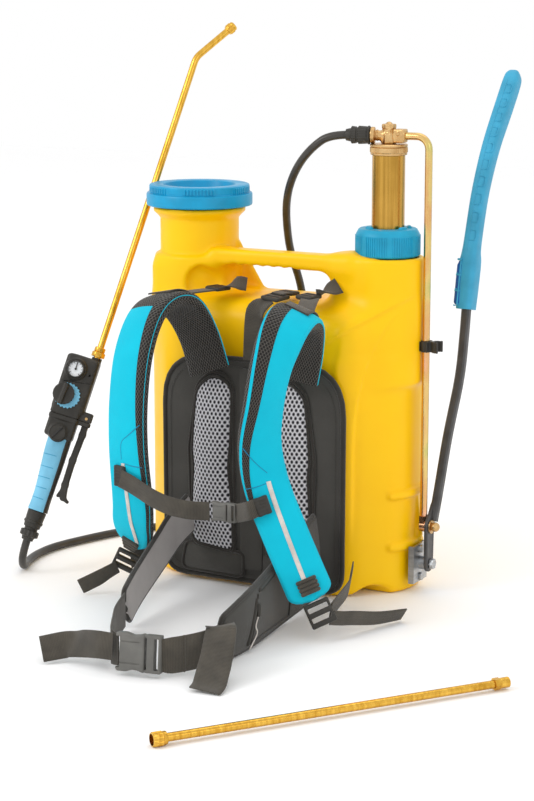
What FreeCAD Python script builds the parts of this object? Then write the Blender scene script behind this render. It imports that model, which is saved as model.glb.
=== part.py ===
"""Knapsack sprayer: blow-moulded tank, brass lever pump, carrying harness, hose, handset and lance.

Frame: millimetres, +Z up, origin on the floor under the middle of the tank.
+X is the pump side, -X the filler side, and the harness hangs on the -Y side.
"""
import FreeCAD, Part
import math
import os

V = FreeCAD.Vector

# ---- driving dimensions -------------------------------------------------------------
WALL = 3.5                      # tank wall
BODY_TOP = 408.0                # saddle between the two columns
FRONT_Y = -84.0                 # flat tank face that carries the back panel
REAR_Y = 72.0
FILL_X = -145.0                 # filler column axis
FILL_R = 64.0
FILL_SHOULDER_Z = 447.0
NECK_R = 55.0
NECK_TOP_Z = 510.0              # flange under the cap
THREAD_TOP_Z = 519.0            # threaded mouth inside the cap
PUMP_X = 145.0                  # pump column axis
PUMP_COL_R = 50.0
PUMP_COL_TOP = 455.0
CAP_R = 74.0
CAP_BOTTOM_Z = 512.5
CAP_STEP_Z = 530.0
CAP_TOP_Z = 542.0
NUT_R = 43.0
NUT_BOTTOM_Z = 459.0
NUT_TOP_Z = 498.0
CYL_R = 22.0                    # brass pressure cylinder
CYL_TOP_Z = 593.0
ROD_Z = 619.0                   # eye of the pull rod in the pump head
ROD_X = 203.0
ROD_R = 5.0
PIVOT_Z = 40.0                  # lever pivot
CRANK_R = 52.0                  # lever pivot to rod pin
LEVER_X0 = 209.2                # inner face of the lever plate
LEVER_THICK = 5.0
GRIP_X = 232.0                  # the lever bends outwards, past the clip on the pull rod
HANDLE_Y = -30.0
HANDLE_Z = 448.0
PANEL_Y = FRONT_Y - 0.4         # rear face of the back panel
PANEL_THICK = 12.0
HOSE_R = 5.5
HOSE_TAIL = 8.0                 # hose end held inside each union nut
TUBE_R = 5.0                    # brass lance and extension tube
WEB_THICK = 2.0                 # woven straps
PAD_THICK = 12.0                # shoulder straps

# handset frame: origin at the lance outlet, z along the lance, x towards the trigger
OUTLET = V(-263.0, -85.0, 300.0)
LANCE_DIR = V(0.1563, 0.3603, 0.9196)
FACE_DIR = V(0.470, -0.846, 0.251)
LANCE_LEN = 448.0
TIP_OFFSET = V(37.7, 0.0, 61.4)

os.makedirs("parts", exist_ok=True)
NODES = {}


def keep(name, shape):
    """Store one node and write its STEP file."""
    NODES[name] = shape
    shape.exportStep("parts/" + name + ".step")


# ---- small geometry helpers -----------------------------------------------------------
def rod(a, b, radius):
    return Part.makeCylinder(radius, (b - a).Length, a, b - a)


def cone(a, b, r_a, r_b):
    return Part.makeCone(r_a, r_b, (b - a).Length, a, b - a)


def upright(x, y, z0, z1, radius):
    return rod(V(x, y, z0), V(x, y, z1), radius)


def ring(x, y, z0, z1, r_out, r_in):
    return upright(x, y, z0, z1, r_out).cut(upright(x, y, z0 - 1, z1 + 1, r_in))


def block(x0, x1, y0, y1, z0, z1):
    return Part.makeBox(x1 - x0, y1 - y0, z1 - z0, V(x0, y0, z0))


def fuse(shapes):
    solid = shapes[0].multiFuse(shapes[1:])
    return solid.removeSplitter()


def hexagon(a, b, across):
    """Hexagonal bar from a to b, by its distance across flats."""
    direction = (b - a).normalize()
    side = direction.cross(V(0, 0, 1) if abs(direction.z) < 0.9 else V(1, 0, 0)).normalize()
    other = direction.cross(side)
    corner = across / math.sqrt(3)
    angles = [math.radians(60 * k) for k in range(7)]
    points = [a + side * corner * math.cos(t) + other * corner * math.sin(t) for t in angles]
    return Part.Face(Part.makePolygon(points)).extrude(b - a)


def toothed(x, y, z0, z1, r_out, depth, teeth):
    """Upright cylinder with shallow vertical grooves round its edge."""
    solid = upright(x, y, z0, z1, r_out)
    grooves = []
    for k in range(teeth):
        turn = 2 * math.pi * k / teeth
        centre = (x + r_out * math.cos(turn), y + r_out * math.sin(turn))
        grooves.append(upright(centre[0], centre[1], z0 - 1, z1 + 1, depth))
    return solid.cut(Part.Compound(grooves))


def outline(points, radius):
    """Closed flat outline through the points, every corner rounded by the same radius."""
    count = len(points)
    edges = []
    starts = []
    for k, corner in enumerate(points):
        before = points[k - 1] - corner
        after = points[(k + 1) % count] - corner
        half = before.getAngle(after) / 2
        reach = radius / math.tan(half)
        first = corner + before.normalize() * reach
        last = corner + after.normalize() * reach
        inward = (before + after).normalize()
        middle = corner + inward * (radius / math.sin(half) - radius)
        starts.append((first, middle, last))
    for k, (first, middle, last) in enumerate(starts):
        edges.append(Part.Arc(first, middle, last).toShape())
        edges.append(Part.LineSegment(last, starts[(k + 1) % count][0]).toShape())
    return Part.Wire(edges)


def ribbon(route, across, width, thick):
    """Bent strip: a flat rectangle carried along the route, its width along each across vector."""
    sections = []
    for k, point in enumerate(route):
        ahead = route[min(k + 1, len(route) - 1)] - route[max(k - 1, 0)]
        side = V(across[k])
        side = (side - ahead * (side.dot(ahead) / ahead.dot(ahead))).normalize()
        normal = ahead.cross(side).normalize()
        wide = width[k] if isinstance(width, list) else width
        deep = thick[k] if isinstance(thick, list) else thick
        a = side * wide / 2
        b = normal * deep / 2
        corners = [point - a - b, point + a - b, point + a + b, point - a + b, point - a - b]
        sections.append(Part.makePolygon(corners))
    return Part.makeLoft(sections, True, True)


def tangent_path(points, bend_scale=0.45):
    """Straight runs joined by tangent arcs; returns the wire and the arc radii."""
    edges = []
    radii = []
    here = points[0]
    for k in range(1, len(points) - 1):
        corner = points[k]
        back = points[k - 1] - corner
        ahead = points[k + 1] - corner
        turn = math.pi - back.getAngle(ahead)
        reach = bend_scale * min(back.Length, ahead.Length)
        radius = reach / math.tan(turn / 2)
        radii.append(radius)
        first = corner + V(back).normalize() * reach
        last = corner + V(ahead).normalize() * reach
        bisector = (V(back).normalize() + V(ahead).normalize()).normalize()
        middle = corner + bisector * (radius / math.cos(turn / 2) - radius)
        edges.append(Part.LineSegment(here, first).toShape())
        edges.append(Part.Arc(first, middle, last).toShape())
        here = last
    edges.append(Part.LineSegment(here, points[-1]).toShape())
    return Part.Wire(edges), radii


def tube_along(points, radius, bend_scale=0.45):
    """Round bar along a tangent-arc path, with the path's length and radii."""
    wire, radii = tangent_path(points, bend_scale)
    profile = Part.Wire(Part.makeCircle(radius, points[0], points[1] - points[0]))
    solid = wire.makePipeShell([profile], True, False)
    return solid, wire.Length, radii


# ---- tank -----------------------------------------------------------------------------
def tank_form(inset):
    """Outer form of the tank, or its hollow when inset is the wall thickness."""
    plan = [V(-152, FRONT_Y, 0), V(124, FRONT_Y, 0), V(186, -22, 0), V(188, 40, 0),
            V(150, REAR_Y, 0), V(-160, REAR_Y, 0), V(-204, 40, 0), V(-204, -30, 0)]
    face = Part.Face(outline(plan, 16.0))
    if inset:
        face = Part.Face(face.OuterWire.makeOffset2D(-inset))
    face.translate(V(0, 0, inset))
    body = face.extrude(V(0, 0, BODY_TOP - 2 * inset))
    top_edges = [e for e in body.Edges if e.BoundBox.ZMin > BODY_TOP - inset - 0.01]
    body = body.makeFillet(14.0 - inset, top_edges)
    filler = upright(FILL_X, 0, 30 + inset, FILL_SHOULDER_Z - inset, FILL_R - inset)
    pump = upright(PUMP_X, 0, inset, PUMP_COL_TOP - inset, PUMP_COL_R - inset)
    handle = block(FILL_X + 20, PUMP_X - 12, HANDLE_Y - 16 + inset, HANDLE_Y + 16 - inset,
                   HANDLE_Z - 10.5 + inset, HANDLE_Z + 10.5 - inset)
    handle = handle.makeFillet(9.5 - inset, [e for e in handle.Edges if e.BoundBox.XLength > 50])
    return [body, filler, pump, handle]


def make_tank():
    filler_neck = upright(FILL_X, 0, FILL_SHOULDER_Z - 5, NECK_TOP_Z, NECK_R)
    flare = cone(V(FILL_X, 0, NECK_TOP_Z - 12), V(FILL_X, 0, NECK_TOP_Z - 4), NECK_R, NECK_R + 9)
    rim = upright(FILL_X, 0, NECK_TOP_Z - 4, NECK_TOP_Z, NECK_R + 9)
    mouth = upright(FILL_X, 0, NECK_TOP_Z, THREAD_TOP_Z, NECK_R + 5)
    gusset = block(FILL_X, FILL_X + 92, -44, -16, 400, 452)
    slope = Part.Face(Part.makePolygon([V(FILL_X + 60, -50, 460), V(FILL_X + 110, -50, 460),
                                        V(FILL_X + 110, -50, 395), V(FILL_X + 60, -50, 460)]))
    gusset = gusset.cut(slope.extrude(V(0, 60, 0)))
    pump_neck = upright(PUMP_X, 0, PUMP_COL_TOP - 5, 490, 39.6)
    outer = fuse(tank_form(0) + [filler_neck, flare, rim, mouth, gusset, pump_neck])
    neck_bore = upright(FILL_X, 0, FILL_SHOULDER_Z - 10, THREAD_TOP_Z + 1, NECK_R - WALL)
    pump_bore = upright(PUMP_X, 0, PUMP_COL_TOP - 10, 500, 33.0)
    hollow = fuse(tank_form(WALL) + [neck_bore, pump_bore])
    tank = outer.cut(hollow)
    for side in (1, -1):
        arch = Part.makeCylinder(20, 60, V(150 * side - (60 if side < 0 else 0), -52, -6), V(1, 0, 0))
        lining_start = V(150 * side - (57 if side < 0 else -3), -52, -6)
        lining = Part.makeCylinder(20 + WALL, 54, lining_start, V(1, 0, 0))
        shell = lining.common(outer)
        tank = tank.fuse(shell).cut(arch)
    for low, high in ((60, 72), (132, 144)):
        tank = tank.fuse(side_ledge(low, high).cut(outer))
    return tank.removeSplitter()


def side_ledge(low, high):
    """Moulded ledge on the pump side, lying on the slanted corner face."""
    face = Part.Face(Part.makePolygon([V(130, -76, low), V(182, -24, low), V(186, -28, low),
                                       V(134, -80, low), V(130, -76, low)]))
    return face.extrude(V(0, 0, high - low))


def filter_basket():
    shell = ring(FILL_X, 0, 402, THREAD_TOP_Z + 1.6, 49.5, 47.5)
    floor = upright(FILL_X, 0, 400, 402, 49.5)
    flange = ring(FILL_X, 0, THREAD_TOP_Z + 0.2, THREAD_TOP_Z + 1.6, 59.0, 47.5)
    holes = []
    for k in range(6):
        turn = math.radians(60 * k)
        holes.append(upright(FILL_X + 28 * math.cos(turn), 28 * math.sin(turn), 398, 404, 9.0))
    return fuse([shell, floor, flange]).cut(Part.Compound(holes))


# ---- filler cap -----------------------------------------------------------------------
def filler_cap():
    skirt = toothed(FILL_X, 0, CAP_BOTTOM_Z, CAP_STEP_Z, CAP_R, 1.2, 60)
    upper = upright(FILL_X, 0, CAP_STEP_Z, CAP_TOP_Z, CAP_R - 4)
    recess = cone(V(FILL_X, 0, CAP_TOP_Z - 13), V(FILL_X, 0, CAP_TOP_Z + 1), 50, 55)
    cavity = upright(FILL_X, 0, CAP_BOTTOM_Z - 1, CAP_TOP_Z - 19, CAP_R - 11)
    vent_hole = upright(FILL_X, 0, CAP_TOP_Z - 30, CAP_TOP_Z, 6.2)
    return fuse([skirt, upper]).cut(Part.Compound([recess, vent_hole])).cut(cavity)


def vent_valve():
    stem = upright(FILL_X, 0, CAP_TOP_Z - 24, CAP_TOP_Z - 11.5, 6.0)
    crown = upright(FILL_X, 0, CAP_TOP_Z - 12.7, CAP_TOP_Z - 9.5, 9.0)
    return fuse([stem, crown])


# ---- pump -----------------------------------------------------------------------------
def pump_nut():
    skirt = toothed(PUMP_X, 0, NUT_BOTTOM_Z, NUT_TOP_Z - 8, NUT_R, 1.0, 36)
    top = cone(V(PUMP_X, 0, NUT_TOP_Z - 8), V(PUMP_X, 0, NUT_TOP_Z), NUT_R, NUT_R - 5)
    inner = upright(PUMP_X, 0, NUT_BOTTOM_Z - 1, NUT_TOP_Z - 4, 40.0)
    opening = upright(PUMP_X, 0, NUT_BOTTOM_Z, NUT_TOP_Z + 1, 33.0)
    return fuse([skirt, top]).cut(inner).cut(opening)


def pump_barrel():
    tube = ring(PUMP_X, 0, 46, 491.0, 28.0, 25.5)
    flange = ring(PUMP_X, 0, 490.3, NUT_TOP_Z - 4.4, 38.0, 22.4)
    collar = ring(PUMP_X, 0, 486.0, 491.0, 28.0, 22.4)
    return fuse([tube, flange, collar])


def foot_valve():
    seat = upright(PUMP_X, 0, 46, 54, 25.4)
    inlet = upright(PUMP_X, 0, 14, 46, 17.0)
    bore = upright(PUMP_X, 0, 18, 50, 12.0)
    slots = [rod(V(PUMP_X - 20, 0, z), V(PUMP_X + 20, 0, z), 3) for z in (24, 32, 40)]
    slots += [rod(V(PUMP_X, -20, z), V(PUMP_X, 20, z), 3) for z in (24, 32, 40)]
    return fuse([seat, inlet]).cut(bore).cut(Part.Compound(slots))


def pressure_cylinder():
    tube = ring(PUMP_X, 0, 124, CYL_TOP_Z, CYL_R, CYL_R - 1.5)
    foot = ring(PUMP_X, 0, 124, 130, CYL_R, 6)
    return fuse([tube, foot])


def pump_head():
    """Casting on the brass cap: hexagon post, ball top and the branch to the hose."""
    post = hexagon(V(PUMP_X, 0, 608.2), V(PUMP_X, 0, 614), 15)
    column = upright(PUMP_X, 0, 608.2, 629, 8.5)
    top = hexagon(V(PUMP_X, 0, 629), V(PUMP_X, 0, 634), 13)
    branch = rod(V(PUMP_X, 0, ROD_Z), V(PUMP_X, 0, ROD_Z) + BRANCH * 24, 6.5)
    collar = rod(V(PUMP_X, 0, ROD_Z) + BRANCH * 20, V(PUMP_X, 0, ROD_Z) + BRANCH * 25, 11)
    return fuse([post, column, top, branch, collar])


BRANCH = V(-math.cos(math.radians(16)), -math.sin(math.radians(16)), 0)


def hose_union_nut():
    start = V(PUMP_X, 0, ROD_Z) + BRANCH * 25.2
    knurl = rod(start, start + BRANCH * 16, 11.5)
    tail = cone(start + BRANCH * 16, start + BRANCH * 33, 9.5, 8.0)
    bore = rod(start + BRANCH * (33 - HOSE_TAIL), start + BRANCH * 34, HOSE_R + 0.05)
    return fuse([knurl, tail]).cut(bore)


def rod_eye():
    body = block(PUMP_X + 8.9, PUMP_X + 24, -8, 8, ROD_Z - 9, ROD_Z + 9)
    bore = rod(V(PUMP_X + 5, 0, ROD_Z), V(PUMP_X + 30, 0, ROD_Z), ROD_R + 0.2)
    return body.cut(bore)


def pull_rod():
    bend = 17.0
    path = [V(PUMP_X + 10.5, 0, ROD_Z), V(ROD_X, 0, ROD_Z), V(ROD_X, 0, PIVOT_Z + CRANK_R + 14)]
    reach = bend
    corner = path[1]
    first = corner - V(reach, 0, 0)
    last = corner - V(0, 0, reach)
    centre = corner - V(reach, 0, reach)
    middle = centre + V(1, 0, 1).normalize() * bend
    wire = Part.Wire([Part.LineSegment(path[0], first).toShape(), Part.Arc(first, middle, last).toShape(),
                      Part.LineSegment(last, path[2]).toShape()])
    profile = Part.Wire(Part.makeCircle(ROD_R, path[0], V(1, 0, 0)))
    bar = wire.makePipeShell([profile], True, False)
    eye_z = PIVOT_Z + CRANK_R
    pad = block(ROD_X - 3.5, ROD_X + 3.5, -7, 7, eye_z - 1, eye_z + 14.5)
    eye = rod(V(ROD_X - 3.5, 0, eye_z), V(LEVER_X0 - 0.6, 0, eye_z), 8.0)
    return fuse([bar, pad, eye])


def rod_clip():
    """Open C-shaped clip pressed on the pull rod, which holds the lance or the lever for carrying."""
    collar = ring(ROD_X, 0, 333, 347, 7.4, ROD_R)
    arm = block(ROD_X + 6, ROD_X + 10, -4, 4, 333, 347)
    jaw = ring(ROD_X + 16, 0, 333, 347, 8, 6)
    gap = block(ROD_X + 17, ROD_X + 32, -9, 9, 330, 350)
    return fuse([collar, arm, jaw.cut(gap)])


# ---- lever ------------------------------------------------------------------------------
LEVER_MID = LEVER_X0 + LEVER_THICK / 2


def lever_bracket():
    web = block(196.2, 199.2, -22, 22, 14, 66)
    legs = [block(191.2, 196.4, -22, -19.5, 14, 66), block(191.2, 196.4, 19.5, 22, 14, 66)]
    spacer = rod(V(199, 0, PIVOT_Z), V(LEVER_X0 - 0.5, 0, PIVOT_Z), 9)
    bore = rod(V(190, 0, PIVOT_Z), V(215, 0, PIVOT_Z), 4.05)
    bolt_holes = [rod(V(190, 0, z), V(215, 0, z), 3.05) for z in (20.5, 59.5)]
    return fuse([web] + legs + [spacer]).cut(Part.Compound([bore] + bolt_holes))


def lever_pivot_bolt():
    shank = rod(V(196.4, 0, PIVOT_Z), V(LEVER_X0 + LEVER_THICK + 1, 0, PIVOT_Z), 4.0)
    outer_x = LEVER_X0 + LEVER_THICK
    head = hexagon(V(outer_x + 0.4, 0, PIVOT_Z), V(outer_x + 5.5, 0, PIVOT_Z), 13)
    return fuse([shank, head])


def bracket_screws():
    screws = []
    for z in (20.5, 59.5):
        shank = rod(V(195.4, 0, z), V(199.4, 0, z), 3.0)
        head = rod(V(199.3, 0, z), V(202.2, 0, z), 5.5)
        screws.append(fuse([shank, head]))
    return Part.Compound(screws)


def pump_lever():
    x0 = LEVER_X0
    points = [V(x0, -11, PIVOT_Z), V(x0, 11, PIVOT_Z), V(x0, 12, PIVOT_Z + CRANK_R),
              V(x0, 22, 116), V(x0, 8, 122), V(x0, -11, PIVOT_Z + CRANK_R + 4)]
    plate = Part.Face(Part.makePolygon(points + [points[0]])).extrude(V(LEVER_THICK, 0, 0))
    foot = rod(V(x0, 0, PIVOT_Z), V(x0 + LEVER_THICK, 0, PIVOT_Z), 11)
    route = [V(LEVER_MID + 2.8, 9, 100), V(LEVER_MID + 5, 18, 134),
             V(GRIP_X - 1, 50, 290), V(GRIP_X, 69, 391)]
    bar = tube_along(route, 6.0, 0.35)[0]
    bore = rod(V(x0 - 1, 0, PIVOT_Z), V(x0 + 10, 0, PIVOT_Z), 4.2)
    pin_hole = rod(V(x0 - 1, 0, PIVOT_Z + CRANK_R), V(x0 + 10, 0, PIVOT_Z + CRANK_R), 5.0)
    return fuse([plate, foot, bar]).cut(Part.Compound([bore, pin_hole]))


def crank_pin():
    z = PIVOT_Z + CRANK_R
    outer = LEVER_X0 + LEVER_THICK
    stub = rod(V(LEVER_X0 + 0.2, 0, z), V(outer + 3, 0, z), 4.9)
    washer = rod(V(outer + 0.2, 0, z), V(outer + 1.8, 0, z), 9.5)
    knob = Part.makeSphere(6.5, V(outer + 6, 0, z))
    return fuse([stub, washer, knob])


def lever_grip():
    """Hollow-backed box at the foot, tapering into the ribbed hand grip."""
    line = [(66, 383, 24, 30), (79, 446, 25, 33), (81, 457, 22, 26), (105, 527, 21, 25),
            (151, 605, 21, 25), (225, 691, 23, 27)]
    route = [V(GRIP_X, y, z) for y, z, w, d in line]
    grip = ribbon(route, [V(1, 0, 0)] * len(route), [w for y, z, w, d in line], [d for y, z, w, d in line])
    along = (route[1] - route[0]).normalize()
    return grip.cut(rod(route[0] - along * 10, route[0] + along * 8.5, 6.05))


# ---- harness ------------------------------------------------------------------------------
PANEL_MID_X = -10.5


def back_panel():
    half = 137.0
    points = [V(-half, 0, 8), V(half, 0, 8), V(half, 0, 210), V(half - 22, 0, 318), V(-half + 22, 0, 318),
              V(-half, 0, 210)]
    face = Part.Face(outline(points, 14.0))
    face.translate(V(PANEL_MID_X, PANEL_Y - PANEL_THICK, 0))
    return face.extrude(V(0, PANEL_THICK, 0))


def back_pad(side):
    inner = 25.0
    outer = 96.0
    points = [V(inner, 0, 42), V(outer - 4, 0, 52), V(outer, 0, 190), V(outer - 14, 0, 278), V(56, 0, 303),
              V(inner + 4, 0, 284)]
    points = [V(p.x * side, 0, p.z) for p in points]
    face = Part.Face(outline(points, 10.0))
    face.translate(V(PANEL_MID_X, PANEL_Y - PANEL_THICK - 16.0, 0))
    return face.extrude(V(0, 15.6, 0))


RIGHT_STRAP = [V(72, -120, 302), V(80, -121, 345), V(88, -136, 382), V(94, -168, 396), V(95, -204, 384),
               V(92, -232, 345), V(88, -247, 292), V(84, -250, 240), V(93, -249, 190), V(121, -254, 134),
               V(165, -262, 58)]
LEFT_STRAP = [V(-62, -120, 302), V(-78, -121, 350), V(-93, -136, 388), V(-104, -168, 402), V(-109, -206, 386),
              V(-112, -234, 340), V(-113, -247, 278), V(-112, -250, 214), V(-111, -243, 146),
              V(-120, -228, 110), V(-136, -204, 70)]
# the way the outer cover faces at each of those points
RIGHT_FACING = [V(0, 1, 0), V(0, 1, 0.1), V(0.15, 0.8, 0.6), V(0.35, 0, 0.94), V(0.6, -0.5, 0.62),
                V(0.86, -0.45, 0.22), V(0.9, -0.43, 0), V(0.8, -0.6, 0), V(0.62, -0.78, 0),
                V(0.5, -0.86, 0.1), V(0.46, -0.87, 0.2)]
LEFT_FACING = [V(0, 1, 0), V(0, 1, 0.1), V(-0.1, 0.8, 0.6), V(-0.2, 0, 0.97), V(-0.28, -0.65, 0.7),
               V(-0.26, -0.92, 0.28), V(-0.25, -0.96, 0.1), V(-0.22, -0.97, 0), V(-0.15, -0.98, -0.1),
               V(-0.12, -0.97, -0.2), V(-0.1, -0.95, -0.25)]


def shoulder_strap(route, facing, width):
    across = []
    for k, normal in enumerate(facing):
        ahead = route[min(k + 1, len(route) - 1)] - route[max(k - 1, 0)]
        side = ahead.cross(normal)
        across.append(side if side.x > 0 else side * -1)
    thick = [PAD_THICK] * 2 + [PAD_THICK + 4] * (len(route) - 3) + [PAD_THICK]
    return ribbon(route, across, width, thick)


def ladder_lock(centre, along, across):
    """Strap adjuster: flat frame with three bars, 34 x 32 mm."""
    along = V(along).normalize()
    across = V(across)
    across = (across - along * across.dot(along)).normalize()
    route = [centre - along * 16, centre + along * 16]
    plate = ribbon(route, [across, across], 34, 5)
    for offset in (-7, 4):
        middle = centre + along * offset
        slot = ribbon([middle - along * 2.2, middle + along * 2.2], [across, across], 26.5, 12)
        plate = plate.cut(slot)
    return plate


def webbing(points, across, width):
    return ribbon([V(*p) for p in points], [V(*a) for a in across], width, WEB_THICK)


def hip_wing(points, height):
    return ribbon([V(*p) for p in points], [V(0, 0, 1)] * len(points), height, 9.0)


def waist_buckle():
    """Side-release buckle standing on its edge, joined halves with their webbing slots."""
    along = V(0.985, 0.17, 0)
    centre = V(45, -491, 29)
    body = ribbon([centre - along * 33, centre + along * 33], [V(0, 0.12, 1)] * 2, 48, 12)
    for offset in (-27, 27):
        middle = centre + along * offset
        slot = ribbon([middle - along * 2.5, middle + along * 2.5], [V(0, 0.12, 1)] * 2, 38, 20)
        body = body.cut(slot)
    return body


def chest_buckle():
    along = V(1, 0.02, 0)
    centre = V(40, -266, 152)
    return ribbon([centre - along * 17, centre + along * 17], [V(0, 0, 1)] * 2, 26, 8)


def top_buckles():
    frames = [ladder_lock(V(-80, -66, BODY_TOP + 6), V(1, -0.3, 0), V(0.3, 1, 0)),
              ladder_lock(V(13, -74, BODY_TOP + 6), V(0.9, -0.4, 0), V(0.4, 0.9, 0)),
              ladder_lock(V(68, -76, BODY_TOP + 6), V(0.9, -0.4, 0), V(0.4, 0.9, 0))]
    return Part.Compound(frames)


# ---- hose ---------------------------------------------------------------------------------
HOSE_START = V(PUMP_X, 0, ROD_Z) + BRANCH * (25.2 + 33 - HOSE_TAIL)
HOSE_ROUTE_UP = [HOSE_START, HOSE_START + BRANCH * 29, V(44, -24, 602), V(20, -18, 578), V(0, -6, 549),
                 V(-14, 10, 518), V(-24, 32, 484), V(-31, 56, 446), V(-28, 86, 394)]
HOSE_ROUTE_LOW = [V(-28, 86, 394), V(-30, 100, 340), V(-26, 108, 282), V(-16, 110, 224), V(-8, 112, 168),
                  V(-10, 120, 114), V(-26, 140, 64), V(-56, 168, 28), V(-100, 188, 8), V(-152, 190, 6),
                  V(-204, 172, 6), V(-252, 140, 6), V(-292, 98, 6), V(-322, 46, 6), V(-342, -8, 6),
                  V(-358, -62, 6), V(-358, -104, 6), V(-351, -138, 6), V(-338, -169, 5.8),
                  V(-331.5, -183, 13), V(-325, -192, 26)]


# ---- handset, in its own frame ---------------------------------------------------------------
def handset_placement():
    z_axis = V(LANCE_DIR).normalize()
    y_axis = V(FACE_DIR) * -1
    y_axis = (y_axis - z_axis * y_axis.dot(z_axis)).normalize()
    x_axis = y_axis.cross(z_axis)
    matrix = FreeCAD.Matrix(x_axis.x, y_axis.x, z_axis.x, OUTLET.x,
                            x_axis.y, y_axis.y, z_axis.y, OUTLET.y,
                            x_axis.z, y_axis.z, z_axis.z, OUTLET.z, 0, 0, 0, 1)
    return FreeCAD.Placement(matrix)


HAND = handset_placement()


def placed(shape):
    shape.Placement = HAND.multiply(shape.Placement)
    return shape


def handset_body():
    """Two-part black housing: gauge and pressure regulator above, filter chamber below, trigger ears."""
    upper = block(-40, 7.2, -16, 16, -96, -6)
    upper = upper.makeFillet(6, [e for e in upper.Edges if abs(e.BoundBox.ZLength) > 50])
    lower = rod(V(-18, 0, -134), V(-17, 0, -90), 16)
    ears = [block(6, 19, -11.5, -7.2, -98, -80), block(6, 19, 7.2, 11.5, -98, -80)]
    spout = rod(V(0, 0, -8), V(0, 0, -2), 7.0)
    solid = fuse([upper, lower, spout] + ears)
    valve_bore = rod(V(0, 0, -92), V(0, 0, -24), 6.2)
    lance_bore = rod(V(0, 0, -14), V(0, 0, 1), TUBE_R + 0.3)
    pin_bore = rod(V(13, -20, -89), V(13, 20, -89), 2.05)
    mouth = rod(V(0, 0, -106), V(0, 0, -90), 4.0)
    return solid.cut(Part.Compound([valve_bore, lance_bore, pin_bore, mouth]))


def gauge_case():
    """Pressure gauge housing with an open dial recess."""
    body = rod(V(-22.4, -16.2, -27), V(-22.4, -24, -27), 12.5)
    return body.cut(rod(V(-22.4, -19, -27), V(-22.4, -25, -27), 10.5))


def gauge_needle():
    hub = rod(V(-22.4, -19.4, -27), V(-22.4, -21.2, -27), 1.6)
    hand = block(-23.0, -21.8, -20.9, -20.2, -28, -18.5)
    return fuse([hub, hand])


def round_knob(x, z, y_face, radius, height, bar):
    disc = rod(V(x, y_face, z), V(x, y_face - height * 0.5, z), radius)
    grip = block(x - radius * 0.8, x + radius * 0.8, y_face - height, y_face - height * 0.4, z - bar, z + bar)
    return fuse([disc, grip])


def handset_grip():
    route = [V(-17.5, 0, -136.6), V(-14, 0, -165), V(-11, 0, -200), V(-12.5, 0, -232)]
    grip = ribbon(route, [V(1, 0, 0)] * 4, [25, 23, 21, 25], [27, 25, 24, 27])
    return grip


def handset_hose_nut():
    collar = rod(V(-12.8, 0, -232.4), V(-13.4, 0, -250), 13.0)
    nut = rod(V(-13.4, 0, -250), V(-14.2, 0, -276), 11.5)
    bore = rod(V(-14.0, 0, -276 + HOSE_TAIL), V(-14.3, 0, -280), HOSE_R + 0.05)
    return fuse([collar, nut]).cut(bore)


def trigger():
    boss = rod(V(13, -6.9, -89), V(13, 6.9, -89), 5.6)
    route = [V(13.5, 0, -90), V(15, 0, -112), V(13.5, 0, -150), V(15.5, 0, -186), V(21, 0, -208)]
    lever = ribbon(route, [V(0, 1, 0)] * 5, [11, 12, 13, 13, 12], [9, 8, 7, 7, 8])
    return fuse([boss, lever]).cut(rod(V(13, -10, -89), V(13, 10, -89), 2.15))


def trigger_pin():
    return rod(V(13, -12.4, -89), V(13, 12.4, -89), 2.0)


def valve_stem():
    head = rod(V(0, 0, -50), V(0, 0, -44), 5.6)
    stem = rod(V(0, 0, -88), V(0, 0, -50), 2.5)
    return fuse([head, stem])


def valve_spring():
    """Return spring of the trigger valve, as the sleeve that its coils fill."""
    return rod(V(0, 0, -43.8), V(0, 0, -26), 5.0).cut(rod(V(0, 0, -45), V(0, 0, -25), 3.4))


def lance_nut():
    body = hexagon(V(0, 0, -1.6), V(0, 0, 6), 17)
    collar = rod(V(0, 0, 6), V(0, 0, 13), 7.6)
    return fuse([body, collar]).cut(rod(V(0, 0, -3), V(0, 0, 14), TUBE_R + 0.3))


def lance():
    bend = V(0, 0, LANCE_LEN)
    half_turn = TIP_OFFSET.getAngle(V(0, 0, 1)) / 2
    radius = 26.0
    reach = radius * math.tan(half_turn)
    tip_dir = V(TIP_OFFSET).normalize()
    first = bend - V(0, 0, reach)
    last = bend + tip_dir * reach
    inward = (tip_dir - V(0, 0, 1)).normalize()
    middle = bend + inward * (radius / math.cos(half_turn) - radius)
    end = bend + TIP_OFFSET - tip_dir * 12
    wire = Part.Wire([Part.LineSegment(V(0, 0, -12), first).toShape(),
                      Part.Arc(first, middle, last).toShape(),
                      Part.LineSegment(last, end).toShape()])
    profile = Part.Wire(Part.makeCircle(TUBE_R - 0.2, V(0, 0, -12), V(0, 0, 1)))
    return wire.makePipeShell([profile], True, False)


def nozzle():
    bend = V(0, 0, LANCE_LEN)
    tip_dir = V(TIP_OFFSET).normalize()
    end = bend + TIP_OFFSET
    collar = rod(end - tip_dir * 12, end - tip_dir * 2, 7.2)
    face = cone(end - tip_dir * 2, end, 7.2, 5.2)
    orifice = rod(end - tip_dir * 4, end + tip_dir, 0.8)
    return fuse([collar, face]).cut(orifice)


# ---- extension tube on the floor ---------------------------------------------------------------
EXT_A = V(186, -691, 8.2)
EXT_B = V(458, -326, 8.2)


def extension_tube():
    along = (EXT_B - EXT_A).normalize()
    tube = rod(EXT_A + along * 10, EXT_B - along * 4, TUBE_R)
    hexed = hexagon(EXT_B - along * 20, EXT_B - along * 12, 13)
    thread = rod(EXT_B - along * 12, EXT_B, 6.5)
    bore = rod(EXT_A - along * 5, EXT_B + along * 5, 3.6)
    return fuse([tube, hexed, thread]).cut(bore)


def extension_nut():
    along = (EXT_B - EXT_A).normalize()
    body = rod(EXT_A, EXT_A + along * 18, 8.2)
    socket = rod(EXT_A - along, EXT_A + along * 9.6, 6.6)
    return body.cut(socket).cut(rod(EXT_A, EXT_A + along * 20, TUBE_R + 0.25))


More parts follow.
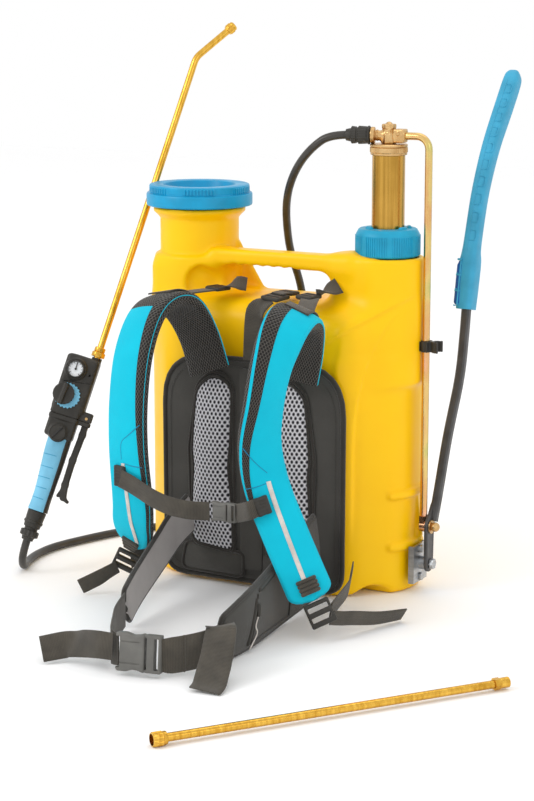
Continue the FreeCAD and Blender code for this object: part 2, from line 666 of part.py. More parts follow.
# ---- build --------------------------------------------------------------------------------------
def build_tank_group():
    keep("tank", make_tank())
    keep("filter_basket", filter_basket())
    keep("filler_cap", filler_cap())
    keep("cap_seal", ring(FILL_X, 0, THREAD_TOP_Z + 1.8, CAP_TOP_Z - 19.2, 59, 48))
    keep("vent_valve", vent_valve())


def build_pump_group():
    keep("pump_nut", pump_nut())
    keep("pump_barrel", pump_barrel())
    keep("foot_valve", foot_valve())
    keep("pressure_cylinder", pressure_cylinder())
    keep("piston_seal", ring(PUMP_X, 0, 130, 142, 25.2, CYL_R + 0.05))
    cap_top = cone(V(PUMP_X, 0, 604), V(PUMP_X, 0, 608), 25, 22)
    keep("cylinder_cap", fuse([upright(PUMP_X, 0, CYL_TOP_Z + 0.2, 604, 25), cap_top]))
    keep("pump_head", pump_head())
    keep("hose_union_nut", hose_union_nut())
    keep("rod_eye", rod_eye())
    keep("pull_rod", pull_rod())
    keep("rod_clip", rod_clip())
    keep("lever_bracket", lever_bracket())
    keep("lever_pivot_bolt", lever_pivot_bolt())
    keep("bracket_screws", bracket_screws())
    keep("pump_lever", pump_lever())
    keep("crank_pin", crank_pin())
    keep("lever_grip", lever_grip())


def build_harness_group():
    keep("back_panel", back_panel())
    keep("left_back_pad", back_pad(-1))
    keep("right_back_pad", back_pad(1))
    keep("left_shoulder_strap", shoulder_strap(LEFT_STRAP, LEFT_FACING, 62.0))
    keep("right_shoulder_strap", shoulder_strap(RIGHT_STRAP, RIGHT_FACING, 58.0))
    locks = [ladder_lock(V(178, -264, 36), V(0.5, -0.08, -0.85), V(1, 0.4, 0)),
             ladder_lock(V(-148, -200, 46), V(-0.5, 0.15, -0.85), V(1, 0.25, 0))]
    keep("ladder_locks", Part.Compound(locks))
    right_run = webbing([(184, -246, 34), (172, -170, 42), (146, -106, 48)], [(0.2, 0, 1)] * 3, 25)
    right_tail = webbing([(194, -256, 30), (206, -226, 24), (222, -184, 13), (240, -144, 11)],
                         [(0.3, 0, 1)] * 3 + [(0.5, 0, 0.8)], 20)
    keep("right_lower_webbing", Part.Compound([right_run, right_tail]))
    left_run = webbing([(-152, -182, 42), (-151, -150, 46), (-150, -104, 48)], [(0, 0, 1)] * 3, 25)
    left_tail = webbing([(-160, -212, 36), (-178, -226, 25), (-199, -238, 12)], [(0.5, 0.3, 0.8)] * 3, 20)
    keep("left_lower_webbing", Part.Compound([left_run, left_tail]))
    keep("chest_webbing", chest_webbing())
    keep("chest_clips", chest_clips())
    keep("chest_buckle", chest_buckle())
    keep("left_hip_wing", hip_wing([(-98, -129, 97), (-92, -200, 71), (-76, -290, 44), (-62, -342, 29)],
                                   [54, 50, 46, 48]))
    keep("right_hip_wing", hip_wing([(98, -118, 66), (104, -180, 58), (108, -258, 46), (117, -345, 39),
                                     (114, -416, 30)], [112, 100, 84, 70, 52]))
    left_run = webbing([(-60, -350, 29), (-36, -410, 29), (-8, -462, 29), (6, -486, 29)], [(0, 0, 1)] * 4, 46)
    left_tail = webbing([(4, -502, 34), (-30, -490, 30), (-62, -486, 21), (-84, -504, 15)],
                        [(0, 0.1, 1), (0, 0.3, 0.9), (0.4, 0.5, 0.6), (0.5, 0.6, 0.35)], 34)
    keep("left_belt_webbing", Part.Compound([left_run, left_tail]))
    right_run = webbing([(84, -484, 28), (98, -462, 28), (112, -432, 28)], [(0, 0, 1)] * 3, 46)
    right_tail = webbing([(130, -434, 52), (138, -458, 34), (146, -486, 14), (150, -508, 3.5)],
                         [(0.9, 0.4, 0)] * 4, 40)
    keep("right_belt_webbing", Part.Compound([right_run, right_tail]))
    keep("waist_buckle", waist_buckle())
    keep("top_webbing", top_webbing())
    keep("top_buckles", top_buckles())


def chest_webbing():
    left = webbing([(-111.5, -261, 177), (-84, -270, 168), (-60, -277, 160), (-36, -280, 155), (0, -276, 152),
                    (21, -268, 151)], [(0, 0, 1)] * 6, 25)
    right = webbing([(59, -266, 152), (75, -276, 158), (87, -283, 163), (94, -278, 166)], [(0, 0, 1)] * 4, 24)
    return Part.Compound([left, right])


def chest_clips():
    left = ribbon([V(-127.6, -256.4, 180), V(-112, -260, 180)], [V(0, 0, 1)] * 2, 27, 6.5)
    right = ribbon([V(94.6, -277, 166), V(106.6, -267.8, 171)], [V(0, 0, 1)] * 2, 24, 6.5)
    return Part.Compound([left, right])


def top_webbing():
    """Straps from the back panel and the shoulder straps up to the anchor on the tank's saddle."""
    centre = webbing([(-10, -96, 322), (-10, -93, 360), (-10, -90, 398)], [(1, 0, 0)] * 3, 26)
    left = webbing([(-94, -128, 398), (-88, -104, 414), (-84, -82, 415)], [(1, 0, 0)] * 3, 25)
    right = webbing([(90, -128, 394), (82, -104, 412), (74, -82, 415)], [(1, 0, 0)] * 3, 25)
    return Part.Compound([centre, left, right])


def build_hose_group():
    upper, upper_length, upper_radii = tube_along(HOSE_ROUTE_UP, HOSE_R)
    end = HAND.multVec(V(-14.1, 0, -276 + HOSE_TAIL))
    lead = HAND.multVec(V(-14.2, 0, -284))
    lower, lower_length, lower_radii = tube_along(HOSE_ROUTE_LOW + [lead, end], HOSE_R)
    section = math.pi * HOSE_R ** 2
    print("hose length", round(upper_length), round(lower_length))
    print("volume ratio", round(upper.Volume / (section * upper_length), 4),
          round(lower.Volume / (section * lower_length), 4))
    print("upper radii", [round(r) for r in upper_radii])
    print("lower radii", [round(r) for r in lower_radii])
    print("handset end", [round(c, 1) for c in end], "lead", [round(c, 1) for c in lead])
    keep("hose_upper", upper)
    keep("hose_lower", lower)


def build_handset_group():
    keep("handset_body", placed(handset_body()))
    keep("handset_grip", placed(handset_grip()))
    keep("handset_hose_nut", placed(handset_hose_nut()))
    keep("gauge_case", placed(gauge_case()))
    keep("gauge_needle", placed(gauge_needle()))
    keep("regulator_knob", placed(round_knob(-27.5, -65, -16.4, 13.5, 15, 3.2)))
    keep("filter_knob", placed(round_knob(-19, -119, -16.6, 11.0, 10, 2.2)))
    keep("trigger", placed(trigger()))
    keep("trigger_pin", placed(trigger_pin()))
    keep("valve_stem", placed(valve_stem()))
    keep("valve_spring", placed(valve_spring()))
    keep("lance_nut", placed(lance_nut()))
    keep("lance", placed(lance()))
    keep("nozzle", placed(nozzle()))


def build_extension_group():
    keep("extension_tube", extension_tube())
    keep("extension_nut", extension_nut())


build_tank_group()
build_pump_group()
build_harness_group()
build_hose_group()
build_handset_group()
build_extension_group()
for node, shape in NODES.items():
    if not shape.isValid() or min(s.Volume for s in shape.Solids) <= 0:
        print("check", node, shape.isValid(), [round(s.Volume) for s in shape.Solids])
print(len(NODES), "nodes")
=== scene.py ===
"""Looks of the knapsack sprayer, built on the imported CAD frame.

Shapes are written in millimetres, in the frame's own axes, and become metres when a mesh is made.
"""
import math

import bmesh
import bpy
import numpy as np
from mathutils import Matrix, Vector


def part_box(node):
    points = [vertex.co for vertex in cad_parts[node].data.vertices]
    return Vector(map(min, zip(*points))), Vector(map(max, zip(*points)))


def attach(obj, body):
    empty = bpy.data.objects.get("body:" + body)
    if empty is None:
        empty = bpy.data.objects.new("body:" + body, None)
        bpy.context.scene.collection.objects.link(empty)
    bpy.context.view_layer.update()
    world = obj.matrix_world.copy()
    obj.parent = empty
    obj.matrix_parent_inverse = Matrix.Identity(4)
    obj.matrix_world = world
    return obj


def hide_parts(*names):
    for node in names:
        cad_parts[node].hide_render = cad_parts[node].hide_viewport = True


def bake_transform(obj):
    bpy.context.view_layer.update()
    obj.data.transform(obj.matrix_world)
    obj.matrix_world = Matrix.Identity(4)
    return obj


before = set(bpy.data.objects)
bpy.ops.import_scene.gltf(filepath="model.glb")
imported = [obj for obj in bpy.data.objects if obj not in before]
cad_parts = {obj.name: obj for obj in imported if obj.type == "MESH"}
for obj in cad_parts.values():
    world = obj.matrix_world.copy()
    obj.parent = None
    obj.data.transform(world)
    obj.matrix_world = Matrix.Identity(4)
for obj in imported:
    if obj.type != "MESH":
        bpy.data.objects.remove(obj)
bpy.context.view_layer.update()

MM = 0.001
SCENE = bpy.context.scene
SCENE.view_settings.view_transform = "Standard"


# ---- camera ---------------------------------------------------------------------------
AIM = Vector((-0.03827, 0.0, 0.24302))
DISTANCE = 3.0
AZIMUTH = math.radians(28.0)
ELEVATION = math.radians(11.382)
LENS = 96.31
SENSOR_HEIGHT = 36.0


def add_camera():
    data = bpy.data.cameras.new("camera")
    data.sensor_fit = "VERTICAL"
    data.sensor_height = SENSOR_HEIGHT
    data.lens = LENS
    camera = bpy.data.objects.new("camera", data)
    back = Vector((math.sin(AZIMUTH) * math.cos(ELEVATION), -math.cos(AZIMUTH) * math.cos(ELEVATION),
                   math.sin(ELEVATION)))
    camera.location = AIM + back * DISTANCE
    camera.rotation_euler = (-back).to_track_quat("-Z", "Y").to_euler()
    SCENE.collection.objects.link(camera)
    SCENE.camera = camera


add_camera()


# ---- small vector tools -----------------------------------------------------------------
def vec(*numbers):
    return np.array(numbers, float)


def unit(v):
    v = np.asarray(v, float)
    return v / np.linalg.norm(v, axis=-1, keepdims=True)


def span(node):
    """Lowest and highest corner of a CAD node, in mm."""
    low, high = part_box(node)
    return np.array(low) / MM, np.array(high) / MM


def xyz(points):
    return points[..., 0], points[..., 1], points[..., 2]


def run_of(points):
    """Distance along a line at each of its points."""
    return np.concatenate([[0], np.cumsum(np.linalg.norm(np.diff(points, axis=0), axis=1))])


def sample(at, run, rows):
    """Rows read off at distances along a line."""
    return np.stack([np.interp(at, run, column) for column in rows.T], -1)


def smooth(rows, step):
    """Catmull-Rom curve through the rows, whose first three columns are a place, at even steps."""
    rows = np.asarray(rows, float)
    wide = np.vstack([2 * rows[0] - rows[1], rows, 2 * rows[-1] - rows[-2]])
    t = np.linspace(0, 1, 32, endpoint=False)[:, None]
    parts = []
    for k in range(len(rows) - 1):
        a, b, c, d = wide[k:k + 4]
        parts.append(0.5 * (2 * b + (c - a) * t + (2 * a - 5 * b + 4 * c - d) * t ** 2
                            + (3 * b - a - 3 * c + d) * t ** 3))
    fine = np.vstack(parts + [rows[-1:]])
    run = run_of(fine[:, :3])
    at = np.linspace(0, run[-1], max(3, int(round(run[-1] / step)) + 1))
    return sample(at, run, fine), at


# ---- mesh tools -------------------------------------------------------------------------
def face_outwards(mesh):
    work = bmesh.new()
    work.from_mesh(mesh)
    bmesh.ops.recalc_face_normals(work, faces=work.faces)
    work.to_mesh(mesh)
    work.free()


def add_mesh(name, points, faces, materials, body, uvs=None, which=None, sharp=38.0):
    """One piece from points in mm; uvs are per face corner, which is the material of each face."""
    mesh = bpy.data.meshes.new(name)
    mesh.from_pydata((np.asarray(points, float) * MM).tolist(), [], [list(map(int, f)) for f in faces])
    for material in materials:
        mesh.materials.append(material)
    if which is not None:
        mesh.polygons.foreach_set("material_index", np.asarray(which, np.int32))
    if uvs is not None:
        layer = mesh.uv_layers.new(name="UVMap")
        layer.data.foreach_set("uv", np.asarray(uvs, np.float32).ravel())
    face_outwards(mesh)
    mesh.polygons.foreach_set("use_smooth", np.ones(len(mesh.polygons), bool))
    mesh.set_sharp_from_angle(angle=math.radians(sharp))
    mesh.update()
    piece = bpy.data.objects.new(name, mesh)
    SCENE.collection.objects.link(piece)
    if body:
        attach(piece, body)
    return piece


def skin(rings, caps=True, kinds=None):
    """Faces, corner UVs in metres and face kinds of a surface through rings of points."""
    rings = np.asarray(rings, float)
    count, sides = rings.shape[:2]
    wrap = np.concatenate([rings, rings[:, :1]], 1)
    u = np.concatenate([[0], np.cumsum(np.linalg.norm(np.diff(wrap, axis=1), axis=2).mean(0))]) * MM
    middle = rings.mean(1)
    v = run_of(middle) * MM
    if v[-1] < 1e-6:
        v = np.concatenate([[0], np.cumsum(np.linalg.norm(np.diff(rings, axis=0), axis=2).mean(1))]) * MM
    faces, uvs, which = [], [], []
    for r in range(count - 1):
        for s in range(sides):
            n = (s + 1) % sides
            faces.append((r * sides + s, r * sides + n, (r + 1) * sides + n, (r + 1) * sides + s))
            uvs += [(u[s], v[r]), (u[s + 1], v[r]), (u[s + 1], v[r + 1]), (u[s], v[r + 1])]
            which.append(0 if kinds is None else kinds[s])
    if caps:
        end_kind = 0 if kinds is None else max(kinds)
        for r, order in ((0, range(sides - 1, -1, -1)), (count - 1, range(sides))):
            faces.append([r * sides + s for s in order])
            uvs += [(u[s], v[r]) for s in order]
            which.append(end_kind)
    return rings.reshape(-1, 3), faces, uvs, which


def add_skin(name, rings, materials, body, caps=True, kinds=None, sharp=38.0):
    points, faces, uvs, which = skin(rings, caps, kinds)
    return add_mesh(name, points, faces, materials, body, uvs, which, sharp)


def join_parts(parts):
    """Several (points, faces, uvs, which) as one."""
    points, faces, uvs, which, start = [], [], [], [], 0
    for p, f, u, w in parts:
        points.append(p)
        faces += [[i + start for i in face] for face in f]
        uvs += list(u)
        which += list(w)
        start += len(p)
    return np.vstack(points), faces, uvs, which


def sewn(name, parts, material, body, sharp=38.0):
    """Several small shapes of one material as one piece."""
    points, faces, uvs, which = join_parts(parts)
    return add_mesh(name, points, faces, [material], body, uvs, which, sharp)


def carried(points):
    """Directions along a line, with two more that turn as little as they can."""
    points = np.asarray(points, float)
    ahead = unit(np.gradient(points, axis=0))
    helper = vec(0, 0, 1) if abs(ahead[0][2]) < 0.9 else vec(1, 0, 0)
    side = unit(np.cross(ahead[0], helper))
    sides = []
    for direction in ahead:
        side = unit(side - direction * np.dot(side, direction))
        sides.append(side)
    sides = np.array(sides)
    return ahead, sides, np.cross(ahead, sides)


def tube_rings(points, radius, sides=12, tips=False):
    points = np.asarray(points, float)
    radius = np.broadcast_to(np.asarray(radius, float), (len(points),)).copy()
    ahead, side, other = carried(points)
    if tips:
        start = points[:1] - ahead[:1] * radius[0] * 0.6
        end = points[-1:] + ahead[-1:] * radius[-1] * 0.6
        points = np.vstack([start, points, end])
        side = np.vstack([side[:1], side, side[-1:]])
        other = np.vstack([other[:1], other, other[-1:]])
        radius = np.concatenate([[radius[0] * 0.55], radius, [radius[-1] * 0.55]])
    turn = np.linspace(0, 2 * math.pi, sides, endpoint=False)
    wheel = np.cos(turn)[None, :, None] * side[:, None] + np.sin(turn)[None, :, None] * other[:, None]
    return points[:, None] + wheel * radius[:, None, None]


def tube(points, radius, sides=12, tips=False):
    return skin(tube_rings(points, radius, sides, tips))


def lathe_rings(profile, centre, axis=(0, 0, 1), sides=96, wobble=None, start=(1, 0, 0)):
    """Rings of a turned shape from (radius, height) rows; wobble adds to the radius at each row and angle."""
    axis = unit(axis)
    side = unit(np.asarray(start, float) - axis * np.dot(start, axis))
    other = np.cross(axis, side)
    turn = np.linspace(0, 2 * math.pi, sides, endpoint=False)
    rings = []
    for row, (radius, height) in enumerate(profile):
        reach = np.full(sides, float(radius))
        if wobble is not None:
            reach = reach + wobble(row, height, turn)
        spokes = np.cos(turn)[:, None] * side + np.sin(turn)[:, None] * other
        rings.append(np.asarray(centre, float) + axis * height + spokes * reach[:, None])
    return np.array(rings)


def turned(name, profile, centre, material, body, axis=(0, 0, 1), sides=96, wobble=None, sharp=30.0):
    rings = lathe_rings(profile, centre, axis, sides, wobble)
    return add_skin(name, rings, [material], body, sharp=sharp)


def dashes(line, pitch, length, radius):
    """Sewing stitches along a line of points."""
    line = np.asarray(line, float)
    run = run_of(line)
    parts = []
    for start in np.arange(pitch * 0.5, run[-1] - length, pitch):
        at = np.linspace(start, start + length, 3)
        parts.append(tube(sample(at, run, line), radius, 5, True))
    return parts


# ---- moulded shapes from distance fields ----------------------------------------------------
# A field gives the distance to a surface, less than 0 inside. meld joins two, both keeps what they
# share, carve cuts the second from the first, and k is the width of the soft edge between them.
def meld(a, b, k):
    h = np.maximum(k - np.abs(a - b), 0) / k
    return np.minimum(a, b) - h * h * k * 0.25


def carve(a, b, k):
    return -meld(-a, b, k)


def both(a, b, k):
    return -meld(-a, -b, k)


def f_box(p, centre, half, r=0.0):
    q = np.abs(p - np.asarray(centre, float)) - (np.asarray(half, float) - r)
    return np.linalg.norm(np.maximum(q, 0), axis=-1) + np.minimum(q.max(-1), 0) - r


def f_drum(p, a, b, radius, r=0.0):
    """Cylinder from a to b with rounded rims."""
    a, b = np.asarray(a, float), np.asarray(b, float)
    length = np.linalg.norm(b - a)
    axis = (b - a) / length
    q = p - (a + b) / 2
    along = np.abs(q @ axis)
    out = np.linalg.norm(q - (q @ axis)[..., None] * axis, axis=-1)
    d0, d1 = out - radius + r, along - length / 2 + r
    return np.hypot(np.maximum(d0, 0), np.maximum(d1, 0)) + np.minimum(np.maximum(d0, d1), 0) - r


def f_pill(p, a, b, r_a, r_b=None):
    a, b = np.asarray(a, float), np.asarray(b, float)
    r_b = r_a if r_b is None else r_b
    t = np.clip(((p - a) @ (b - a)) / np.dot(b - a, b - a), 0, 1)
    return np.linalg.norm(p - a - t[..., None] * (b - a), axis=-1) - (r_a + (r_b - r_a) * t)


CORNERS = np.array([(i, j, k) for i in (0, 1) for j in (0, 1) for k in (0, 1)])
EDGES = [(a, b) for a in range(8) for b in range(a + 1, 8) if np.abs(CORNERS[a] - CORNERS[b]).sum() == 1]


def net(field, low, high, cell):
    """Quads over the surface where the field is zero, with every point pulled on to it."""
    low = np.asarray(low, float) - 1.5 * cell
    high = np.asarray(high, float) + 1.5 * cell
    axes = [np.arange(a, b + cell, cell) for a, b in zip(low, high)]
    shape = tuple(len(a) for a in axes)
    values = np.empty(shape)
    for i, x in enumerate(axes[0]):
        plane = np.stack(np.meshgrid([x], axes[1], axes[2], indexing="ij"), -1)[0]
        values[i] = field(plane)
    inside = values < 0
    cells = tuple(n - 1 for n in shape)
    total = sum(inside[c[0]:c[0] + cells[0], c[1]:c[1] + cells[1], c[2]:c[2] + cells[2]].astype(int)
                for c in CORNERS)
    active = np.argwhere((total > 0) & (total < 8))
    corner = np.stack([values[tuple((active + c).T)] for c in CORNERS], 1)
    place = np.zeros((len(active), 3))
    hits = np.zeros(len(active))
    for a, b in EDGES:
        crossing = (corner[:, a] < 0) != (corner[:, b] < 0)
        t = corner[:, a] / np.where(crossing, corner[:, a] - corner[:, b], 1.0)
        spot = CORNERS[a] + t[:, None] * (CORNERS[b] - CORNERS[a])
        place += np.where(crossing[:, None], spot, 0)
        hits += crossing
    points = low + (active + place / hits[:, None]) * cell
    index = np.full(cells, -1)
    index[tuple(active.T)] = np.arange(len(active))
    faces = []
    for axis in range(3):
        first = inside.take(range(shape[axis] - 1), axis)
        second = inside.take(range(1, shape[axis]), axis)
        one, two = [a for a in range(3) if a != axis]
        for starts_inside in (True, False):
            edge = np.argwhere((first == starts_inside) & (second == (not starts_inside)))
            edge = edge[(edge[:, one] > 0) & (edge[:, two] > 0)]
            quad = []
            for d_one, d_two in ((0, 0), (1, 0), (1, 1), (0, 1)):
                at = edge.copy()
                at[:, one] -= d_one
                at[:, two] -= d_two
                quad.append(index[tuple(at.T)])
            quad = np.stack(quad, 1)
            flip = starts_inside == (axis == 1)
            faces.append(quad[:, ::-1] if flip else quad)
    small = cell * 0.2
    for _ in range(3):
        here = field(points)
        slope = np.stack([(field(points + small * np.eye(3)[k]) - here) / small for k in range(3)], 1)
        step = here[:, None] * slope / np.maximum((slope ** 2).sum(1), 0.25)[:, None]
        points = points - np.clip(step, -cell * 0.6, cell * 0.6)
    return points, np.vstack(faces)


def moulded(name, field, low, high, cell, material, body, place=None, sharp=50.0):
    """A piece from a field in its own axes; place carries it into the frame."""
    points, faces = net(field, low, high, cell)
    if place is not None:
        points = place(points)
    return add_mesh(name, points, faces, [material], body, sharp=sharp)


def set_in(origin, x_axis, y_axis, z_axis):
    axes = np.array([x_axis, y_axis, z_axis])
    return lambda points: np.asarray(origin, float) + np.asarray(points, float) @ axes


# ---- soft bands --------------------------------------------------------------------------
class Band:
    """A strap, wing or webbing: its line, the way it faces, its width and its thickness."""

    def __init__(self, stations, step=4.0):
        rows = [list(point) + list(unit(facing)) + [width, thick] for point, facing, width, thick in stations]
        dense, self.run = smooth(rows, step)
        self.line = dense[:, :3]
        self.ahead = unit(np.gradient(self.line, axis=0))
        facing = dense[:, 3:6]
        self.out = unit(facing - self.ahead * (facing * self.ahead).sum(1, keepdims=True))
        self.across = np.cross(self.out, self.ahead)
        self.width = dense[:, 6]
        self.thick = dense[:, 7]

    def at(self, run, side, height):
        """Points at distances along the band, sideways in half widths, and outwards in mm."""
        run = np.asarray(run, float)
        half = np.interp(run, self.run, self.width) / 2
        side = np.broadcast_to(np.asarray(side, float), run.shape)
        height = np.broadcast_to(np.asarray(height, float), run.shape)
        sideways = sample(run, self.run, self.across) * (side * half)[..., None]
        return sample(run, self.run, self.line) + sideways + self.facing(run) * height[..., None]

    def facing(self, run):
        return sample(run, self.run, self.out)

    def top(self, run):
        return np.interp(run, self.run, self.thick) / 2

    def rings(self, section):
        """Rings of the band; section gives (across, out) points in mm for a width and a thickness."""
        rings = []
        for k in range(len(self.line)):
            outline = section(self.width[k], self.thick[k], k)
            rings.append(self.line[k] + outline[:, :1] * self.across[k] + outline[:, 1:] * self.out[k])
        return np.array(rings)


TOP_POINTS = 13


def padded_section(crown_out, crown_in, edge):
    """Section of a padded band: crowned on both faces, rounded at both edges."""
    spread = np.linspace(-1, 1, TOP_POINTS)
    bend = np.linspace(0, math.pi / 2, 4)[1:-1]

    def section(width, thick, ring):
        radius = min(edge, thick / 2 - 0.2)
        reach = width / 2 - radius
        flat = spread * reach
        upper = thick / 2 + crown_out * (1 - spread ** 2)
        lower = -thick / 2 - crown_in * (1 - spread ** 2)
        right = [(reach + radius * math.sin(t), thick / 2 - radius + radius * math.cos(t)) for t in bend]
        right += [(width / 2, thick / 2 - radius - 0.1), (width / 2, -thick / 2 + radius + 0.1)]
        right += [(reach + radius * math.cos(t), -thick / 2 + radius - radius * math.sin(t)) for t in bend]
        left = [(-a, b) for a, b in right[::-1]]
        return np.array(list(zip(flat, upper)) + right + list(zip(flat[::-1], lower[::-1])) + left)

    return section


def flat_section(width, thick, ring):
    a, b = width / 2, thick / 2
    spread = np.linspace(-1, 1, 7)
    top = [(a * s, b) for s in spread]
    bottom = [(a * s, -b) for s in spread[::-1]]
    return np.array([(-a - b * 0.5, 0.0)] + top + [(a + b * 0.5, 0.0)] + bottom)


# ---- hose -----------------------------------------------------------------------------------
PUMP_X = float(sum(c[0] for c in span("pressure_cylinder")) / 2)
EYE_Z = float(sum(c[2] for c in span("rod_eye")) / 2)
BRANCH = vec(-math.cos(math.radians(16)), -math.sin(math.radians(16)), 0)
HEAD = vec(PUMP_X, 0, EYE_Z)
HOSE_START = HEAD + BRANCH * 50.2
HOSE_END = vec(-317.1, -187.1, 57.8)
HOSE_BEND = vec(-28, 86, 394)
HOSE_ROUTE = [HOSE_START, HOSE_START + BRANCH * 29, (44, -24, 602), (20, -18, 578), (0, -6, 549),
              (-14, 10, 518), (-24, 32, 484), (-31, 56, 446), HOSE_BEND, (-30, 100, 340), (-26, 108, 282),
              (-16, 110, 224), (-8, 112, 168), (-10, 120, 114), (-26, 140, 64), (-56, 168, 28),
              (-100, 188, 8), (-152, 190, 6), (-204, 172, 6), (-252, 140, 6), (-292, 98, 6), (-322, 46, 6),
              (-342, -8, 6), (-358, -62, 6), (-358, -104, 6), (-351, -138, 6), (-338, -169, 5.8),
              (-331.5, -183, 13), (-325, -192, 26), (-319.6, -192.9, 43.1), HOSE_END]
HOSE_RADIUS = 5.5


def spline_points(route):
    """Points in mm along the smooth curve that the route controls."""
    curve = bpy.data.curves.new("route", "CURVE")
    curve.dimensions = "3D"
    curve.resolution_u = 8
    line = curve.splines.new("NURBS")
    line.points.add(len(route) - 1)
    for point, place in zip(line.points, route):
        point.co = (place[0] * MM, place[1] * MM, place[2] * MM, 1)
    line.order_u = 3
    line.use_endpoint_u = True
    line.resolution_u = 8
    holder = bpy.data.objects.new("route", curve)
    SCENE.collection.objects.link(holder)
    mesh = bpy.data.meshes.new_from_object(holder)
    points = np.array([v.co for v in mesh.vertices]) / MM
    bpy.data.objects.remove(holder)
    return points


# ---- materials --------------------------------------------------------------------------------
class Shade:
    """A node material that is built up from its principled shader."""

    def __init__(self, name, colour, rough, metal=0.0, **inputs):
        self.material = bpy.data.materials.new(name)
        self.material.use_nodes = True
        self.tree = self.material.node_tree
        self.shader = self.tree.nodes["Principled BSDF"]
        self.put(self.shader, {"Base Color": (*colour, 1), "Roughness": rough, "Metallic": metal})
        self.put(self.shader, {key.replace("_", " "): value for key, value in inputs.items()})

    def put(self, node, values):
        for key, value in values.items():
            if isinstance(value, bpy.types.NodeSocket):
                self.tree.links.new(value, node.inputs[key])
            else:
                node.inputs[key].default_value = value

    def node(self, kind, values=None, output=0, **settings):
        node = self.tree.nodes.new("ShaderNode" + kind)
        for key, value in settings.items():
            setattr(node, key, value)
        self.put(node, values or {})
        return node.outputs[output]

    def math(self, operation, a, b=0.0):
        return self.node("Math", {0: a, 1: b}, operation=operation)

    def place(self):
        return self.node("TexCoord", output="Object")

    def noise(self, scale, detail=3.0, rough=0.55, stretch=None, where=None):
        where = self.place() if where is None else where
        if stretch is not None:
            where = self.node("VectorMath", {0: where, 1: stretch}, operation="MULTIPLY")
        return self.node("TexNoise", {"Vector": where, "Scale": scale, "Detail": detail, "Roughness": rough})

    def remap(self, value, low, high, to_low, to_high):
        return self.node("MapRange", {"Value": value, "From Min": low, "From Max": high, "To Min": to_low,
                                      "To Max": to_high})

    def drift(self, scale, detail, low, high, to_low=0.0, to_high=1.0):
        """Soft noise, spread from one value to another."""
        return self.remap(self.noise(scale, detail), low, high, to_low, to_high)

    def blend(self, factor, dark, light):
        node = self.tree.nodes.new("ShaderNodeMix")
        node.data_type = "RGBA"
        for key, value in ((0, factor), (6, dark), (7, light)):
            value = (*value, 1) if isinstance(value, tuple) else value
            self.put(node, {key: value})
        return node.outputs[2]

    def tint(self, factor, dark, light):
        self.put(self.shader, {"Base Color": self.blend(factor, dark, light)})

    def bump(self, height, distance, strength=1.0):
        below = self.shader.inputs["Normal"]
        values = {"Height": height, "Distance": distance, "Strength": strength}
        if below.is_linked:
            values["Normal"] = below.links[0].from_socket
        normal = self.node("Bump", values)
        self.put(self.shader, {"Normal": normal})

    def roughen(self, value):
        self.put(self.shader, {"Roughness": value})

    def lattice(self, pitch, squeeze=1.0):
        """Distance in metres to the nearest point of a honeycomb of holes, in the piece's UVs."""
        uv = self.node("TexCoord", output="UV")
        tall = pitch * math.sqrt(3)
        found = []
        for offset in ((0, 0, 0), (pitch / 2, tall / 2, 0)):
            moved = self.node("VectorMath", {0: uv, 1: offset}, operation="ADD")
            ends = {0: moved, 1: (pitch / 2, tall / 2, 1), 2: (-pitch / 2, -tall / 2, -1)}
            wrapped = self.node("VectorMath", ends, operation="WRAP")
            flat = self.node("VectorMath", {0: wrapped, 1: (1, squeeze, 0)}, operation="MULTIPLY")
            found.append(self.node("VectorMath", {0: flat}, output="Value", operation="LENGTH"))
        return self.math("MINIMUM", *found)

    def weave(self, pitch):
        """Height of a plain weave, from 0 to 1, in the piece's UVs."""
        split = self.tree.nodes.new("ShaderNodeSeparateXYZ")
        self.put(split, {0: self.node("TexCoord", output="UV")})
        turns = 2 * math.pi / pitch
        waves = [self.math("SINE", self.math("MULTIPLY", split.outputs[k], turns)) for k in (0, 1)]
        return self.math("ADD", self.math("MULTIPLY", self.math("MULTIPLY", *waves), 0.5), 0.5)


def tank_plastic():
    s = Shade("tank_yellow_plastic", (0.98, 0.56, 0.001), 0.34, Specular_IOR_Level=0.22)
    s.tint(s.drift(9.0, 4.0, 0.35, 0.7), (0.97, 0.545, 0.0008), (0.99, 0.585, 0.001))
    s.roughen(s.drift(60.0, 4.0, 0.3, 0.7, 0.30, 0.42))
    s.bump(s.noise(520.0, 2.0), 0.00012, 0.5)
    s.bump(s.noise(28.0, 3.0), 0.0006, 0.35)
    return s.material


def moulded_plastic(name, colour, rough, grain=900.0, spread=0.12):
    s = Shade(name, colour, rough, Specular_IOR_Level=0.3)
    dark = tuple(c * (1 - spread) for c in colour)
    light = tuple(min(1.0, c * (1 + spread)) for c in colour)
    s.tint(s.drift(35.0, 5.0, 0.3, 0.7), dark, light)
    s.roughen(s.drift(80.0, 4.0, 0.3, 0.7, rough - 0.06, rough + 0.08))
    s.bump(s.noise(grain, 2.0), 0.0001, 0.6)
    return s.material


def drawn_metal(name, dark, light, rough, stretch, stain=0.0):
    """Drawn or brushed metal; stretch turns the grain, stain adds blotches of handling and heat."""
    s = Shade(name, light, rough, 1.0)
    grain = s.noise(1.0, 4.0, 0.6, stretch)
    blotch = s.noise(26.0, 5.0)
    mixed = s.math("ADD", s.math("MULTIPLY", grain, 1 - stain), s.math("MULTIPLY", blotch, stain))
    s.tint(s.remap(mixed, 0.35, 0.65, 0.0, 1.0), dark, light)
    s.roughen(s.remap(mixed, 0.3, 0.7, rough + 0.1, rough - 0.05))
    s.bump(grain, 0.00008, 0.5)
    return s.material


